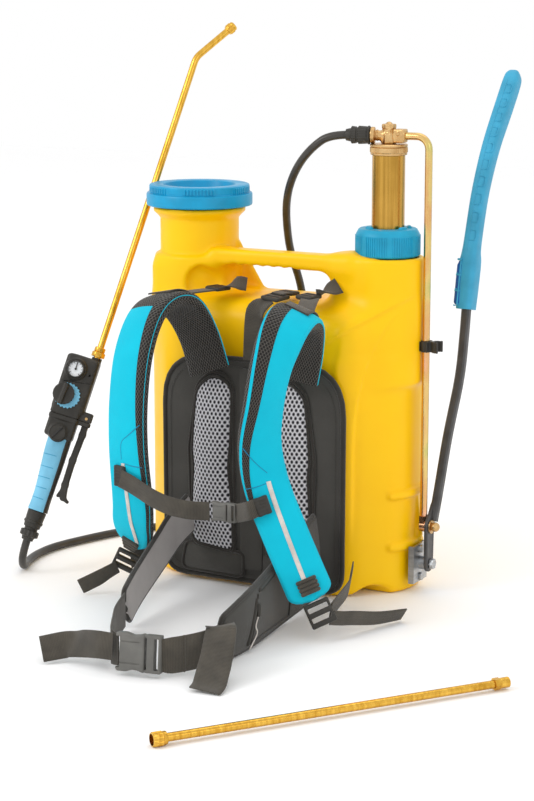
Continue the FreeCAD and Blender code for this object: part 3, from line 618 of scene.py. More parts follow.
def passivated_gold():
    """Yellow chromate on steel rod, whose colour drifts between gold, rose and green."""
    s = Shade("passivated_rod", (0.70, 0.46, 0.16), 0.24, 1.0)
    drift = s.noise(30.0, 4.0, 0.55, (1.0, 1.0, 0.35))
    ramp = s.tree.nodes.new("ShaderNodeValToRGB")
    s.put(ramp, {0: drift})
    stops = [(0.30, (0.42, 0.50, 0.16)), (0.44, (0.74, 0.54, 0.20)), (0.54, (0.70, 0.40, 0.16)),
             (0.62, (0.78, 0.42, 0.26)), (0.74, (0.80, 0.62, 0.26))]
    for element, (at, colour) in zip(ramp.color_ramp.elements, stops[:2]):
        element.position = at
        element.color = (*colour, 1)
    for at, colour in stops[2:]:
        ramp.color_ramp.elements.new(at).color = (*colour, 1)
    s.put(s.shader, {"Base Color": ramp.outputs[0]})
    s.roughen(s.remap(drift, 0.3, 0.7, 0.30, 0.18))
    s.bump(s.noise(300.0, 3.0), 0.0001, 0.4)
    return s.material


def painted_steel():
    s = Shade("black_painted_steel", (0.045, 0.042, 0.040), 0.40)
    s.tint(s.drift(40.0, 5.0, 0.35, 0.7), (0.035, 0.033, 0.032), (0.065, 0.062, 0.060))
    s.roughen(s.drift(90.0, 4.0, 0.3, 0.7, 0.32, 0.50))
    s.bump(s.noise(700.0, 2.0), 0.0001, 0.6)
    return s.material


def hose_rubber():
    s = Shade("hose_rubber", (0.030, 0.026, 0.021), 0.36)
    s.tint(s.drift(60.0, 4.0, 0.3, 0.7), (0.022, 0.019, 0.016), (0.042, 0.036, 0.028))
    s.roughen(s.drift(45.0, 4.0, 0.3, 0.7, 0.28, 0.46))
    s.bump(s.noise(500.0, 2.0), 0.0001, 0.5)
    return s.material


def woven(name, dark, light, pitch, depth, rough=0.85, sheen=0.25):
    """Plain-woven cloth with its threads, soft creases and a little fading."""
    s = Shade(name, light, rough, Sheen_Weight=sheen, Sheen_Roughness=0.5, Specular_IOR_Level=0.25)
    threads = s.weave(pitch)
    patches = s.drift(22.0, 5.0, 0.3, 0.7)
    fine = s.noise(900.0, 2.0)
    mixed = s.math("ADD", s.math("MULTIPLY", threads, 0.35),
                   s.math("ADD", s.math("MULTIPLY", patches, 0.35), s.math("MULTIPLY", fine, 0.3)))
    s.tint(mixed, dark, light)
    s.bump(threads, depth, 0.7)
    s.bump(s.noise(38.0, 4.0), 0.0016, 0.45)
    return s.material


def ribbed_webbing():
    """Polyester webbing: cross ribs with a herringbone shift between its lanes."""
    s = Shade("black_webbing", (0.060, 0.052, 0.040), 0.8, Sheen_Weight=0.2, Sheen_Roughness=0.5,
              Specular_IOR_Level=0.3)
    split = s.tree.nodes.new("ShaderNodeSeparateXYZ")
    s.put(split, {0: s.node("TexCoord", output="UV")})
    lanes = s.math("SINE", s.math("MULTIPLY", split.outputs[0], 2 * math.pi / 0.0044))
    shift = s.math("MULTIPLY", lanes, 0.9)
    ribs = s.math("SINE", s.math("ADD", s.math("MULTIPLY", split.outputs[1], 2 * math.pi / 0.0019), shift))
    height = s.math("ADD", s.math("MULTIPLY", ribs, 0.5), 0.5)
    worn = s.drift(45.0, 5.0, 0.3, 0.7)
    mixed = s.math("ADD", s.math("MULTIPLY", height, 0.5), s.math("MULTIPLY", worn, 0.5))
    s.tint(mixed, (0.034, 0.030, 0.024), (0.092, 0.080, 0.062))
    s.bump(height, 0.0003, 0.8)
    return s.material


def spacer_mesh(name, pitch, hole, thread_dark, thread_light, hole_shade, squeeze=0.8):
    """Knitted spacer mesh: a honeycomb of holes coloured near black as painted shade, between looped threads
    painted darker towards the holes as shade.
    """
    s = Shade(name, thread_light, 0.75, Sheen_Weight=0.2, Sheen_Roughness=0.4, Specular_IOR_Level=0.3)
    near = s.lattice(pitch, squeeze)
    openness = s.remap(near, hole * 0.35, hole * 0.72, 0.0, 1.0)
    loops = s.noise(420.0, 3.0)
    # Threads are painted darker near each hole, as the shade that falls into it, mixed with random loop
    # noise.
    lit = s.math("ADD", s.math("MULTIPLY", s.remap(near, hole * 0.5, pitch * 0.5, 0.0, 1.0), 0.6),
                 s.math("MULTIPLY", loops, 0.4))
    threads = s.blend(lit, thread_dark, thread_light)
    # The holes take the last, near-black colour: painted shade where the mesh opens into its depth.
    s.put(s.shader, {"Base Color": s.blend(openness, hole_shade, threads)})
    s.bump(openness, 0.0012, 0.9)
    s.bump(loops, 0.0004, 0.5)
    return s.material


def reflective_tape():
    s = Shade("reflective_tape", (0.60, 0.55, 0.50), 0.38)
    s.tint(s.drift(70.0, 4.0, 0.3, 0.7), (0.50, 0.45, 0.41), (0.72, 0.67, 0.62))
    s.bump(s.noise(1200.0, 2.0), 0.0001, 0.6)
    return s.material


YELLOW = tank_plastic()
BLUE = moulded_plastic("cap_blue_plastic", (0.004, 0.300, 0.54), 0.36)
NUT_BLUE = moulded_plastic("nut_blue_plastic", (0.010, 0.330, 0.53), 0.42)
GRIP_BLUE = moulded_plastic("grip_blue_plastic", (0.040, 0.330, 0.52), 0.46)
HAND_BLUE = moulded_plastic("soft_blue_plastic", (0.185, 0.500, 0.70), 0.55)
# This dark blue is used only as painted shade inside the lever grip's slots.
SLOT_SHADE_BLUE = moulded_plastic("slot_shade_blue_paint", (0.002, 0.080, 0.34), 0.45)
BLACK = moulded_plastic("black_plastic", (0.036, 0.033, 0.028), 0.42, spread=0.25)
GREY = moulded_plastic("grey_plastic", (0.125, 0.122, 0.112), 0.45, spread=0.2)
WHITE = moulded_plastic("white_plastic", (0.80, 0.81, 0.82), 0.45)
DIAL = moulded_plastic("dial_white", (0.86, 0.88, 0.90), 0.35, spread=0.02)
RUBBER = moulded_plastic("seal_rubber", (0.028, 0.027, 0.026), 0.6)
HOSE = hose_rubber()
BRASS = drawn_metal("drawn_brass", (0.36, 0.19, 0.030), (0.66, 0.38, 0.080), 0.26, (160.0, 160.0, 3.0), 0.15)
CAST_BRASS = drawn_metal("cast_brass", (0.50, 0.30, 0.12), (0.72, 0.48, 0.22), 0.32, (90.0, 90.0, 90.0), 0.5)
LANCE_BRASS = drawn_metal("lance_brass", (0.55, 0.28, 0.03), (0.86, 0.52, 0.09), 0.22, (200.0, 200.0, 8.0),
                          0.3)
GOLD_ROD = passivated_gold()
ZINC = drawn_metal("zinc_steel", (0.36, 0.37, 0.38), (0.58, 0.59, 0.60), 0.34, (40.0, 40.0, 200.0), 0.4)
PAINT = painted_steel()
BLUE_CLOTH = woven("blue_cloth", (0.0, 0.440, 0.61), (0.0, 0.570, 0.74), 0.0011, 0.00025, sheen=0.03)
BLACK_CLOTH = woven("black_cloth", (0.026, 0.024, 0.020), (0.060, 0.055, 0.047), 0.0010, 0.0002)
PANEL_CLOTH = woven("panel_cloth", (0.036, 0.034, 0.030), (0.074, 0.070, 0.062), 0.0012, 0.00022)
GREY_LINING = woven("grey_lining", (0.27, 0.250, 0.240), (0.44, 0.415, 0.40), 0.0016, 0.0002)
PIPING = woven("piping_cloth", (0.016, 0.014, 0.012), (0.046, 0.041, 0.034), 0.0009, 0.0002)
WEBBING = ribbed_webbing()
# The last colour given to each spacer mesh is the painted shade inside its holes.
PAD_MESH = spacer_mesh("grey_spacer_mesh", 0.0062, 0.0032, (0.30, 0.295, 0.32), (0.80, 0.79, 0.82),
                       (0.010, 0.009, 0.012))
STRAP_MESH = spacer_mesh("black_spacer_mesh", 0.0038, 0.0024, (0.030, 0.027, 0.023), (0.115, 0.105, 0.090),
                         (0.006, 0.005, 0.004))
TAPE = reflective_tape()


def dress(node, material, sharp=32.0):
    """A CAD node that stays in the picture gets its material and smooth shading."""
    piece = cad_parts[node]
    piece.data.materials.clear()
    piece.data.materials.append(material)
    piece.data.polygons.foreach_set("use_smooth", np.ones(len(piece.data.polygons), bool))
    piece.data.set_sharp_from_angle(angle=math.radians(sharp))


for node, material in (("filter_basket", WHITE), ("cap_seal", RUBBER), ("vent_valve", BLUE),
                       ("pump_barrel", BLACK), ("foot_valve", BLACK), ("pressure_cylinder", BRASS),
                       ("piston_seal", RUBBER), ("pull_rod", GOLD_ROD), ("lever_bracket", ZINC),
                       ("lever_pivot_bolt", ZINC), ("bracket_screws", ZINC), ("crank_pin", CAST_BRASS),
                       ("trigger_pin", CAST_BRASS), ("valve_stem", BRASS), ("valve_spring", ZINC),
                       ("lance", LANCE_BRASS), ("extension_tube", LANCE_BRASS), ("gauge_needle", BLACK)):
    dress(node, material)


# ---- the hose, from the pump to the handset ------------------------------------------------------
def make_hose():
    path = spline_points(HOSE_ROUTE)
    points, faces, uvs, which = tube(path, HOSE_RADIUS, 20)
    hose = add_mesh("hose", points, faces, [HOSE], None, uvs, which)
    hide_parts("hose_upper", "hose_lower")
    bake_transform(hose)


make_hose()


# ---- floor and light -------------------------------------------------------------------------------
FLOOR_REACH = 6000.0
LAMPS = (("key", (-1.9, -2.6, 2.3), 1.5, 34.0), ("fill", (2.6, -1.6, 1.4), 1.2, 5.0),
         ("top", (0.2, 0.6, 2.9), 1.8, 8.0))


def add_stage():
    corners = [(x * FLOOR_REACH, y * FLOOR_REACH, 0) for x, y in ((-1, -1), (1, -1), (1, 1), (-1, 1))]
    floor_shade = Shade("pale_floor", (0.99, 0.99, 0.99), 0.8)
    floor = add_mesh("floor", np.array(corners) - vec(0, 0, 0.3), [(0, 1, 2, 3)], [floor_shade.material],
                     None)
    world = bpy.data.worlds.new("studio")
    world.use_nodes = True
    world.node_tree.nodes["Background"].inputs[0].default_value = (1, 1, 1, 1)
    world.node_tree.nodes["Background"].inputs[1].default_value = 1.0
    SCENE.world = world
    for name, place, size_m, power in LAMPS:
        data = bpy.data.lights.new(name, "AREA")
        data.size = size_m
        data.energy = power
        lamp = bpy.data.objects.new(name, data)
        lamp.location = place
        lamp.rotation_euler = (Vector(place) - Vector((0, 0, 0.3))).to_track_quat("Z", "Y").to_euler()
        SCENE.collection.objects.link(lamp)


add_stage()

# ---- tank ----------------------------------------------------------------------------------------
PLAN = np.array([(-152, -84), (124, -84), (186, -22), (188, 40), (150, 72), (-160, 72), (-204, 40),
                 (-204, -30)], float)
FILL_X = float(sum(c[0] for c in span("filler_cap")) / 2)
DECK_Z = 405.0
HANDLE_Z = 448.0
SHOULDER_TOP = 447.0
COLUMN_TOP = 458.0
NECK_TOP = 511.0
PANEL_DEPTH = 3.4
CREASE_DEPTH = 2.4
WALL = 9.0
FILL_BORE, PUMP_BORE = 49.0, 41.0


def ease(t):
    t = np.clip(t, 0, 1)
    return t * t * (3 - 2 * t)


def plan_field(p, k=20.0):
    total = None
    for a, b in zip(PLAN, np.roll(PLAN, -1, axis=0)):
        normal = unit(vec(b[1] - a[1], a[0] - b[0]))
        side = (p[..., 0] - a[0]) * normal[0] + (p[..., 1] - a[1]) * normal[1]
        total = side if total is None else both(total, side, k)
    return total


def tank_outside(p):
    x, y, z = xyz(p)
    around = plan_field(p)
    diagonal = (x + y) / math.sqrt(2)
    edge = 40 + 52 * np.clip((z - 170) / 209, 0, 1.1) ** 3
    panel = ease((edge - diagonal) / 5 + 0.5) * ease((x - y - 184) / 16) * ease((z - 60) / 90)
    shell = around - PANEL_DEPTH * panel
    deck = (z - DECK_Z + 0.11 * (y + 50)) * 0.994
    front_slope = 0.87 * (z - DECK_Z) - 0.5 * (y + 54)
    body = both(both(shell, deck, 26), front_slope, 40)
    reach = np.hypot(x - FILL_X, y)
    shoulder = f_drum(p, (FILL_X, 0, 30), (FILL_X, 0, SHOULDER_TOP), 62.5, 5)
    front = f_box(p, (-149, -20, 387), (47, 38, 60), 20)
    shoulder = meld(shoulder, front, 10)
    bar = np.stack([x - 4, y + 30, z - HANDLE_Z], -1)
    handle = f_box(bar, (0, 0, 0), (108, 16, 11), 7)
    shoulder = carve(shoulder, f_box(p, (-58, -72, 382), (74, 40, 54), 24), 5)
    body = meld(body, shoulder, 16)
    body = meld(body, f_drum(p, (FILL_X, 0, 280), (FILL_X, 0, SHOULDER_TOP), 54, 2), 7)
    column = f_drum(p, (PUMP_X, 0, 290), (PUMP_X, 0, COLUMN_TOP), 50, 4)
    column = meld(column, f_box(p, (114, -28, 404), (36, 18, 54), 14), 14)
    body = meld(meld(body, column, 18), handle, 20)
    finger_z = HANDLE_Z - 21
    for middle in range(-66, 20, 17):
        body = carve(body, f_drum(p, (middle, -60, finger_z), (middle, 0, finger_z), 12.5), 3)
    crease = (z - 338) - 0.62 * (x - 80)
    fade = ease((x - 80) / 20) * ease(-(y + 8) / 16) * ease((z - 318) / 20)
    body = body + CREASE_DEPTH * ease(-crease / 3 + 0.5) * fade
    neck = np.where(z < 496, 55.0, np.clip(55 + (z - 496) * 1.0, 55, 64))
    mouth = both(both(reach - neck, z - NECK_TOP, 2), 435 - z, 2)
    body = meld(body, mouth, 2.5)
    web = both(f_box(p, (-72, 14, 416), (34, 4.5, 46), 2), 0.85 * (x + 85) + 0.53 * (z - 456), 4)
    body = meld(body, web, 8)
    for middle in (66, 138):
        ledge = both(both(around - 5.5, np.abs(z - middle) - 6, 5), np.maximum(168 - x, y - 30), 8)
        body = meld(body, ledge, 4)
    body = meld(body, f_pill(p, (189, 14, 76), (186, 14, 126), 6.5, 2.5), 4)
    body = both(body, -z, 9)
    return carve(body, f_drum(p, (90, -52, -6), (270, -52, -6), 20), 5)


def tank_field(p):
    x, y, z = xyz(p)
    solid = tank_outside(p)
    room = both(both(solid + WALL, z - 386, 4), 10 - z, 4)
    fill_bore = both(both(np.hypot(x - FILL_X, y) - FILL_BORE, 380 - z, 1), z - 530, 1)
    pump_bore = both(both(np.hypot(x - PUMP_X, y) - PUMP_BORE, 380 - z, 1), z - 470, 1)
    return carve(solid, np.minimum(room, np.minimum(fill_bore, pump_bore)), 1)


tank = moulded("tank", tank_field, (-212, -90, 0), (200, 80, 514), 3.0, YELLOW, "frame",
               sharp=60)
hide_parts("tank")


# ---- closed turned parts ---------------------------------------------------------------------------
def hollow_turned(name, profile, centre, material, body, axis=(0, 0, 1), sides=96, wobble=None,
                  sharp=30.0):
    rings = lathe_rings(profile, centre, axis, sides, wobble)
    rings = np.concatenate([rings, rings[:1]])
    return add_skin(name, rings, [material], body, caps=False, sharp=sharp)


LAST_OUTER_ROW = 9


def grouped_ribs(low, high, count, groups, share, depth, shift=0.0):
    """Fine upright ribs in groups, between two heights of the outside of a turned part."""
    def wobble(row, height, turn):
        if not low <= height <= high or row > LAST_OUTER_ROW:
            return 0.0
        place = (turn / (2 * math.pi) * groups + shift) % 1.0
        inside = (place < share).astype(float)
        return depth * inside * (0.5 + 0.5 * np.sign(np.cos(turn * count)))
    return wobble


CAP_RIBS = grouped_ribs(531.9, 539.1, 98, 6, 0.6, 1.3, 0.3)
NUT_RIBS = grouped_ribs(460.8, 487.2, 84, 7, 0.8, 0.9, 0.1)
cap = turned("filler_cap", [(58, 513), (73, 513), (74, 514.5), (74, 528), (73, 530), (70.6, 530.6),
                            (70, 531.4), (70, 532), (70, 539), (70, 539.6), (69.4, 541.2), (67.6, 542),
                            (52, 542), (50, 541), (48.8, 538), (46.4, 528), (45, 526.4), (3, 526)],
             (FILL_X, 0, 0), BLUE, "cap", sides=882, wobble=CAP_RIBS, sharp=28)
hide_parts("filler_cap")

NUT_TOP = 496.0
LUG_REACH = 28.5
nut = hollow_turned("pump_nut", [(24, 459), (41.6, 459), (43, 460.6), (43, 461), (43, 487), (43, 487.4),
                                 (42.6, 489), (39.5, 494.5), (38, 495.6), (30, 496.4), (24, 496.4)],
                    (PUMP_X, 0, 0), NUT_BLUE, "column_nut", sides=840, wobble=NUT_RIBS,
                    sharp=28)
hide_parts("pump_nut")
lugs = []
for turn in (0.5, 2.3, 4.1, 5.9):
    spot = vec(PUMP_X + LUG_REACH * math.cos(turn), LUG_REACH * math.sin(turn), NUT_TOP)
    tangent = unit(np.cross(vec(0, 0, 1), spot - vec(PUMP_X, 0, NUT_TOP)))
    lugs.append(tube([spot + tangent * a for a in (-7, -5, 5, 7)], [1.6, 3.4, 3.4, 1.6], 8))
sewn("pump_nut_lugs", lugs, NUT_BLUE, "column_nut")


# ---- pump head -----------------------------------------------------------------------------------
def knurl(count, depth, rows):
    """Waves round some of the rows of a turned part."""
    def wobble(row, height, turn):
        return depth * np.cos(turn * count) if row in rows else 0.0
    return wobble


cyl_top = span("cylinder_cap")
cap_z0, cap_z1 = cyl_top[0][2], cyl_top[1][2]
cylinder_cap = turned("cylinder_cap", [(21.6, cap_z0), (24.2, cap_z0 + 0.5), (24.6, cap_z0 + 1.6),
                                       (24.4, cap_z0 + 3.2), (25, cap_z0 + 4), (25, cap_z1 - 4.6),
                                       (24, cap_z1 - 3.9), (25.2, cap_z1 - 3.2), (25.2, cap_z1 - 1),
                                       (24, cap_z1), (8, cap_z1)], (PUMP_X, 0, 0), CAST_BRASS, "pump",
                      sides=240, wobble=knurl(60, 0.25, (4, 5)))
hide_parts("cylinder_cap")


def pump_head_field(p):
    q = p - HEAD
    x, y, z = xyz(q)
    reach = np.hypot(x, y)
    turn = np.arctan2(y, x)
    low = both(reach - 9.6 + 0.9 * np.cos(turn * 6), np.abs(z + 4) - 6.8, 2)
    post = both(reach - 8.2 + 0.35 * np.cos(turn * 8), np.abs(z - 0.5) - 10, 2)
    top = both(reach - 8.9 + 0.8 * np.cos(turn * 6), np.abs(z - 12) - 3.2, 1.6)
    dome = np.linalg.norm(q - vec(0, 0, 13), axis=-1) - 5.2
    arm = f_drum(p, HEAD, HEAD + BRANCH * 23, 6.4, 0.5)
    web = f_pill(p, HEAD + vec(0, 0, -6), HEAD + BRANCH * 18 + vec(0, 0, -1), 3.2, 4.0)
    collar = f_drum(p, HEAD + BRANCH * 18.6, HEAD + BRANCH * 24.8, 11, 1.6)
    waist = f_drum(p, HEAD + BRANCH * 14.5, HEAD + BRANCH * 16.5, 7.6, 0.8)
    body = meld(meld(low, post, 2), meld(top, dome, 1), 1.2)
    arm = meld(meld(arm, web, 3), meld(collar, waist, 1.5), 1.2)
    return meld(body, arm, 3.5)


head = moulded("pump_head", pump_head_field, HEAD - vec(30, 16, 12), HEAD + vec(14, 14, 19), 0.9, CAST_BRASS,
               "pump", sharp=35)
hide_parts("pump_head")

union = turned("hose_union_nut", [(11.4, 0), (12.4, 0.6), (12.4, 2.6), (11.2, 3.2), (11.2, 4), (11.6, 4.4),
                                  (11.6, 15), (11.2, 15.6), (10.2, 16.2), (10.2, 18), (11.2, 18.6),
                                  (11.2, 24.5), (10.2, 25.2), (9, 26), (8.4, 29), (7.6, 32.4), (6, 33)],
               HEAD + BRANCH * 25.2, BLACK, "pump", axis=BRANCH, sides=160,
               wobble=knurl(20, 0.55, (6, 7, 11, 12)))
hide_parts("hose_union_nut")


def rod_eye_field(p):
    q = p - vec(PUMP_X + 16.5, 0, EYE_Z)
    block = f_box(q, (0, 0, 0), (7.5, 8, 9), 1.8)
    boss = f_drum(q, (-9, 0, 0), (9, 0, 0), 7.4, 1)
    screw = f_drum(q, (0, -9.6, 3), (0, -6, 3), 2.6, 0.4)
    return meld(meld(block, boss, 2), screw, 0.8)


eye = moulded("rod_eye", rod_eye_field, (PUMP_X + 7, -10, EYE_Z - 10), (PUMP_X + 26, 9, EYE_Z + 10), 0.9,
              CAST_BRASS, "pump", sharp=35)
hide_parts("rod_eye")


# ---- rod clip ------------------------------------------------------------------------------------
ROD_X = float(span("pull_rod")[1][0] - 5)
CLIP_LOW, CLIP_HIGH = span("rod_clip")
CLIP_MID = (CLIP_LOW[2] + CLIP_HIGH[2]) / 2


def clip_field(p):
    x, y, z = p[..., 0] - ROD_X, p[..., 1], p[..., 2] - CLIP_MID
    slab = np.abs(z) - 7.6
    around = np.hypot(x, y)
    collar = np.maximum(around - 8.0, 5.2 - around)
    arm = f_box(np.stack([x, y, z], -1), (8.5, 0, 0), (3, 4, 7.6), 1)
    jaw = np.hypot(x - 16, y)
    hook = both(np.maximum(jaw - 8.4, 6.1 - jaw), x - 17.5, 1)
    lips = np.minimum(np.hypot(x - 18.5, np.abs(y) - 8.2) - 1.7, np.hypot(x + 9, np.abs(y) - 5.5) - 1.6)
    rib = np.hypot(x - 3.6, np.abs(y) - 7.6) - 1.6
    return both(meld(meld(meld(collar, arm, 1), meld(hook, lips, 1), 1), rib, 1), slab, 1.6)


clip = moulded("rod_clip", clip_field, (ROD_X - 12, -12, CLIP_MID - 8), (ROD_X + 24, 12, CLIP_MID + 8), 0.9,
               BLACK, "rod", sharp=35)
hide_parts("rod_clip")


# ---- lever ---------------------------------------------------------------------------------------
PLATE_HALF = 2.5
LEVER_X = float(span("pump_lever")[0][0]) + PLATE_HALF
PIVOT_Z = 40.0
PIN_Z = 92.0
GRIP_X = 232.0


def lever_field(p):
    plate = f_pill(p * vec(0, 1, 1), (0, 0, PIVOT_Z), (0, 1, PIN_Z), 11.4, 12.2)
    plate = meld(plate, f_pill(p * vec(0, 1, 1), (0, 4, PIN_Z + 4), (0, 15, 116), 10, 7), 6)
    raised = np.abs(f_pill(p * vec(0, 1, 1), (0, 0, PIVOT_Z), (0, 1, PIN_Z), 8.0)) - 1.2
    thick = np.abs(p[..., 0] - LEVER_X) - np.where(raised < 0, 2.9, PLATE_HALF)
    plate = both(plate, thick, 1.2)
    hole = np.hypot(p[..., 1], p[..., 2] - PIVOT_Z) - 4.4
    pin = np.hypot(p[..., 1], p[..., 2] - PIN_Z) - 5.2
    return carve(plate, np.minimum(hole, pin), 0.5)


plate = moulded("lever_plate", lever_field, (LEVER_X - 4, -14, 27), (LEVER_X + 4, 26, 126), 1.1, PAINT,
                "lever", sharp=35)
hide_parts("pump_lever")
bar_line, _ = smooth([(LEVER_X + 2.6, 8, 98), (LEVER_X + 5, 18, 134), (222, 34.5, 212), (GRIP_X - 1, 50, 290),
                      (GRIP_X, 61.5, 345), (GRIP_X, 69, 391)], 5.0)
bar_rings = []
bar_ahead = unit(np.gradient(bar_line, axis=0))
for centre, ahead in zip(bar_line, bar_ahead):
    side = unit(np.cross(ahead, vec(1, 0, 0)))
    flat = unit(np.cross(side, ahead))
    corner = [(-5.8, -3.6), (-3.6, -5.8), (3.6, -5.8), (5.8, -3.6), (5.8, 3.6), (3.6, 5.8), (-3.6, 5.8),
              (-5.8, 3.6)]
    bar_rings.append([centre + flat * a + side * b for a, b in corner])
add_skin("lever_bar", bar_rings, [PAINT], "lever", sharp=25)

GRIP_LINE = [(66, 383, 23, 30), (72, 414, 25, 32), (79, 446, 25, 32), (84.5, 468, 21.5, 26),
             (105, 527, 21, 25), (126, 568, 21.5, 25), (151, 605, 22, 26), (190, 650, 23, 27),
             (219, 684, 22, 26), (226, 692.5, 15, 18)]
grip_rows, grip_run = smooth([(GRIP_X, y, z, w, d) for y, z, w, d in GRIP_LINE], 3.0)
grip_line = grip_rows[:, :3]
grip_ahead = unit(np.gradient(grip_line, axis=0))
grip_out = unit(np.cross(grip_ahead, vec(1, 0, 0)))
grip_out = grip_out * np.where(grip_out[:, 1:2] < 0, 1.0, -1.0)


def grip_section(wide, deep, power=3.4, count=32):
    turn = np.linspace(0, 2 * math.pi, count, endpoint=False)
    c, s = np.cos(turn), np.sin(turn)
    return np.stack([np.sign(c) * np.abs(c) ** (2 / power) * wide / 2,
                     np.sign(s) * np.abs(s) ** (2 / power) * deep / 2], 1)


grip_rings = []
for centre, out, row in zip(grip_line, grip_out, grip_rows):
    outline = grip_section(row[3], row[4])
    grip_rings.append([centre + vec(1, 0, 0) * a + out * b for a, b in outline])
grip = add_skin("lever_grip", grip_rings, [GRIP_BLUE], "lever", sharp=30)
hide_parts("lever_grip")


def grip_at(run, side, out):
    """A point on the lever grip: distance from its foot, sideways and outwards in mm."""
    centre = vec(*[np.interp(run, grip_run, grip_line[:, k]) for k in range(3)])
    normal = unit(vec(*[np.interp(run, grip_run, grip_out[:, k]) for k in range(3)]))
    return centre + vec(1, 0, 0) * side + normal * out


rib_parts = []
for k in range(10):
    start = 92 + 24.5 * k
    deep = float(np.interp(start, grip_run, grip_rows[:, 4])) / 2 - 0.1
    loop = [grip_at(start + a, b, deep) for a, b in ((0, -1), (0, 6), (1.4, 8.2), (4, 9), (10, 9),
                                                     (12.6, 8.2), (14, 6), (14, -1))]
    rib_parts.append(tube(loop, 0.75, 6, True))
spine = []
for run in np.arange(78, 342, 8):
    spine.append(grip_at(run, -1, float(np.interp(run, grip_run, grip_rows[:, 4])) / 2 - 0.1))
rib_parts.append(tube(spine, 0.7, 6, True))
sewn("lever_grip_ribs", rib_parts, GRIP_BLUE, "lever")

# A dark blue tube under the bridges fills the slots with painted shade of the recess.
recess = tube([grip_at(run, -8.6, 12.6) for run in (5, 8, 20, 40, 58, 64)], [2.5, 4.6, 4.6, 4.6, 4.6, 2.5],
              12)
bridge_parts = []
for low, high in ((4, 24), (26, 45), (47, 66)):
    rim = [grip_at(a, b, 16.3) for a, b in ((low, -11.6), (low, -7), (high, -7), (high, -11.6))]
    bridge_parts.append(tube(rim, 1.1, 8, True))
    bridge_parts.append(tube([grip_at(high, -11.8, 15.2), grip_at(high, -6, 16.6)], 1.6, 8, True))
sewn("lever_grip_slot_shade", [recess], SLOT_SHADE_BLUE, "lever")
sewn("lever_grip_bridges", bridge_parts, GRIP_BLUE, "lever")


# ---- padded goods ----------------------------------------------------------------------------------
def strip(points, across, width, thick=1.8):
    """Stations of a flat strap from its middle line and the direction of its width at each point."""
    points = np.array(points, float)
    ahead = unit(np.gradient(points, axis=0))
    across = np.broadcast_to(np.asarray(across, float), points.shape)
    widths = np.broadcast_to(np.asarray(width, float), (len(points),))
    return [(p, np.cross(t, a), w, thick) for p, t, a, w in zip(points, ahead, across, widths)]


def tapered(band, tip_start, tip_end, power=0.5):
    """Rounds off the two ends of a band."""
    left = band.run
    right = band.run[-1] - band.run
    for run, tip in ((left, tip_start), (right, tip_end)):
        if tip:
            t = np.clip(run / tip, 0, 1)
            factor = np.clip(1 - (1 - t) ** 2.2, 0.03, 1) ** power
            band.width = band.width * factor
            band.thick = band.thick * (0.55 + 0.45 * factor)


def padded_band(name, band, crowns, edge, materials):
    section = padded_section(crowns[0], crowns[1], edge)
    count = len(section(60.0, 16.0, 0))
    rings = band.rings(section)
    kinds = [0 if s < TOP_POINTS + 2 or s >= count - 3 else 1 for s in range(count)]
    piece = add_skin(name, rings, materials, "frame", kinds=kinds, sharp=60)
    return piece


CROWN_OUT = 2.6
CROWN_IN = 1.6
STRAP_EDGE = 5.5
MESH_LIFT = 0.6


def mesh_side(name, band, side, places):
    """The dark lining where it wraps round one edge of the cover; places are (run, columns in)."""
    section = padded_section(CROWN_OUT, CROWN_IN, STRAP_EDGE)
    outline = section(60.0, 16.0, 0)
    count = len(outline)
    rings = band.rings(section)
    low = np.sign(outline[1, 0]) == side
    parts = []
    for k in range(len(rings)):
        run = band.run[k]
        if not places[0][0] <= run <= places[-1][0]:
            continue
        inward = float(np.interp(run, [a for a, b in places], [b for a, b in places]))
        ring = np.array(rings[k])
        steps = np.linspace(inward, -1.5, 9)
        columns = steps if low else TOP_POINTS + 1 - steps
        first = np.floor(columns).astype(int)
        part = (columns - first)[:, None]
        line = ring[first % count] * (1 - part) + ring[(first + 1) % count] * part
        outer = unit(line[-1] - ring.mean(0))
        facing = band.facing(np.array([run]))[0]
        rise = np.linspace(0.2, 1.0, 9)[:, None] * MESH_LIFT
        lift = rise * outer + rise[::-1] * facing
        parts.append(np.concatenate([line + lift, (line - lift)[::-1]]))
    add_skin(name, parts, [STRAP_MESH], "frame", sharp=60)


def edge_line(band, side, end):
    run = np.linspace(0, band.run[-1] * end, max(3, int(band.run[-1] * end / 4)))
    return band.at(run, side, 0.0)


PANEL_LOW, PANEL_HIGH = span("back_panel")
PANEL_MID_X = (PANEL_LOW[0] + PANEL_HIGH[0]) / 2
PANEL_FACE = float(PANEL_LOW[1])


def soft_plate(name, outline, rise, back_y, front_y, materials, rings=9):
    """A padded plate from its outline in x and z: crowned towards the wearer, flat behind."""
    line = np.array(outline, float)
    middle = line.mean(0)
    parts = []
    for t in np.linspace(0, 1, 4):
        parts.append(np.column_stack([line[:, 0], np.full(len(line), back_y + (front_y - back_y) * t),
                                      line[:, 1]]))
    parts[0][:, [0, 2]] = middle + (line - middle) * 0.985
    for t in np.linspace(0, 1, rings)[1:]:
        lift = rise * (1 - (1 - t) ** 2.6)
        points = middle + (line - middle) * np.maximum(1 - t, 0.02)
        parts.append(np.column_stack([points[:, 0], np.full(len(line), front_y - lift), points[:, 1]]))
    points, faces, _, which = skin(np.array(parts))
    flat_uv = [(points[i][0] * MM, points[i][2] * MM) for face in faces for i in face]
    piece = add_mesh(name, points, faces, materials, "frame", flat_uv, which, 50)
    return piece


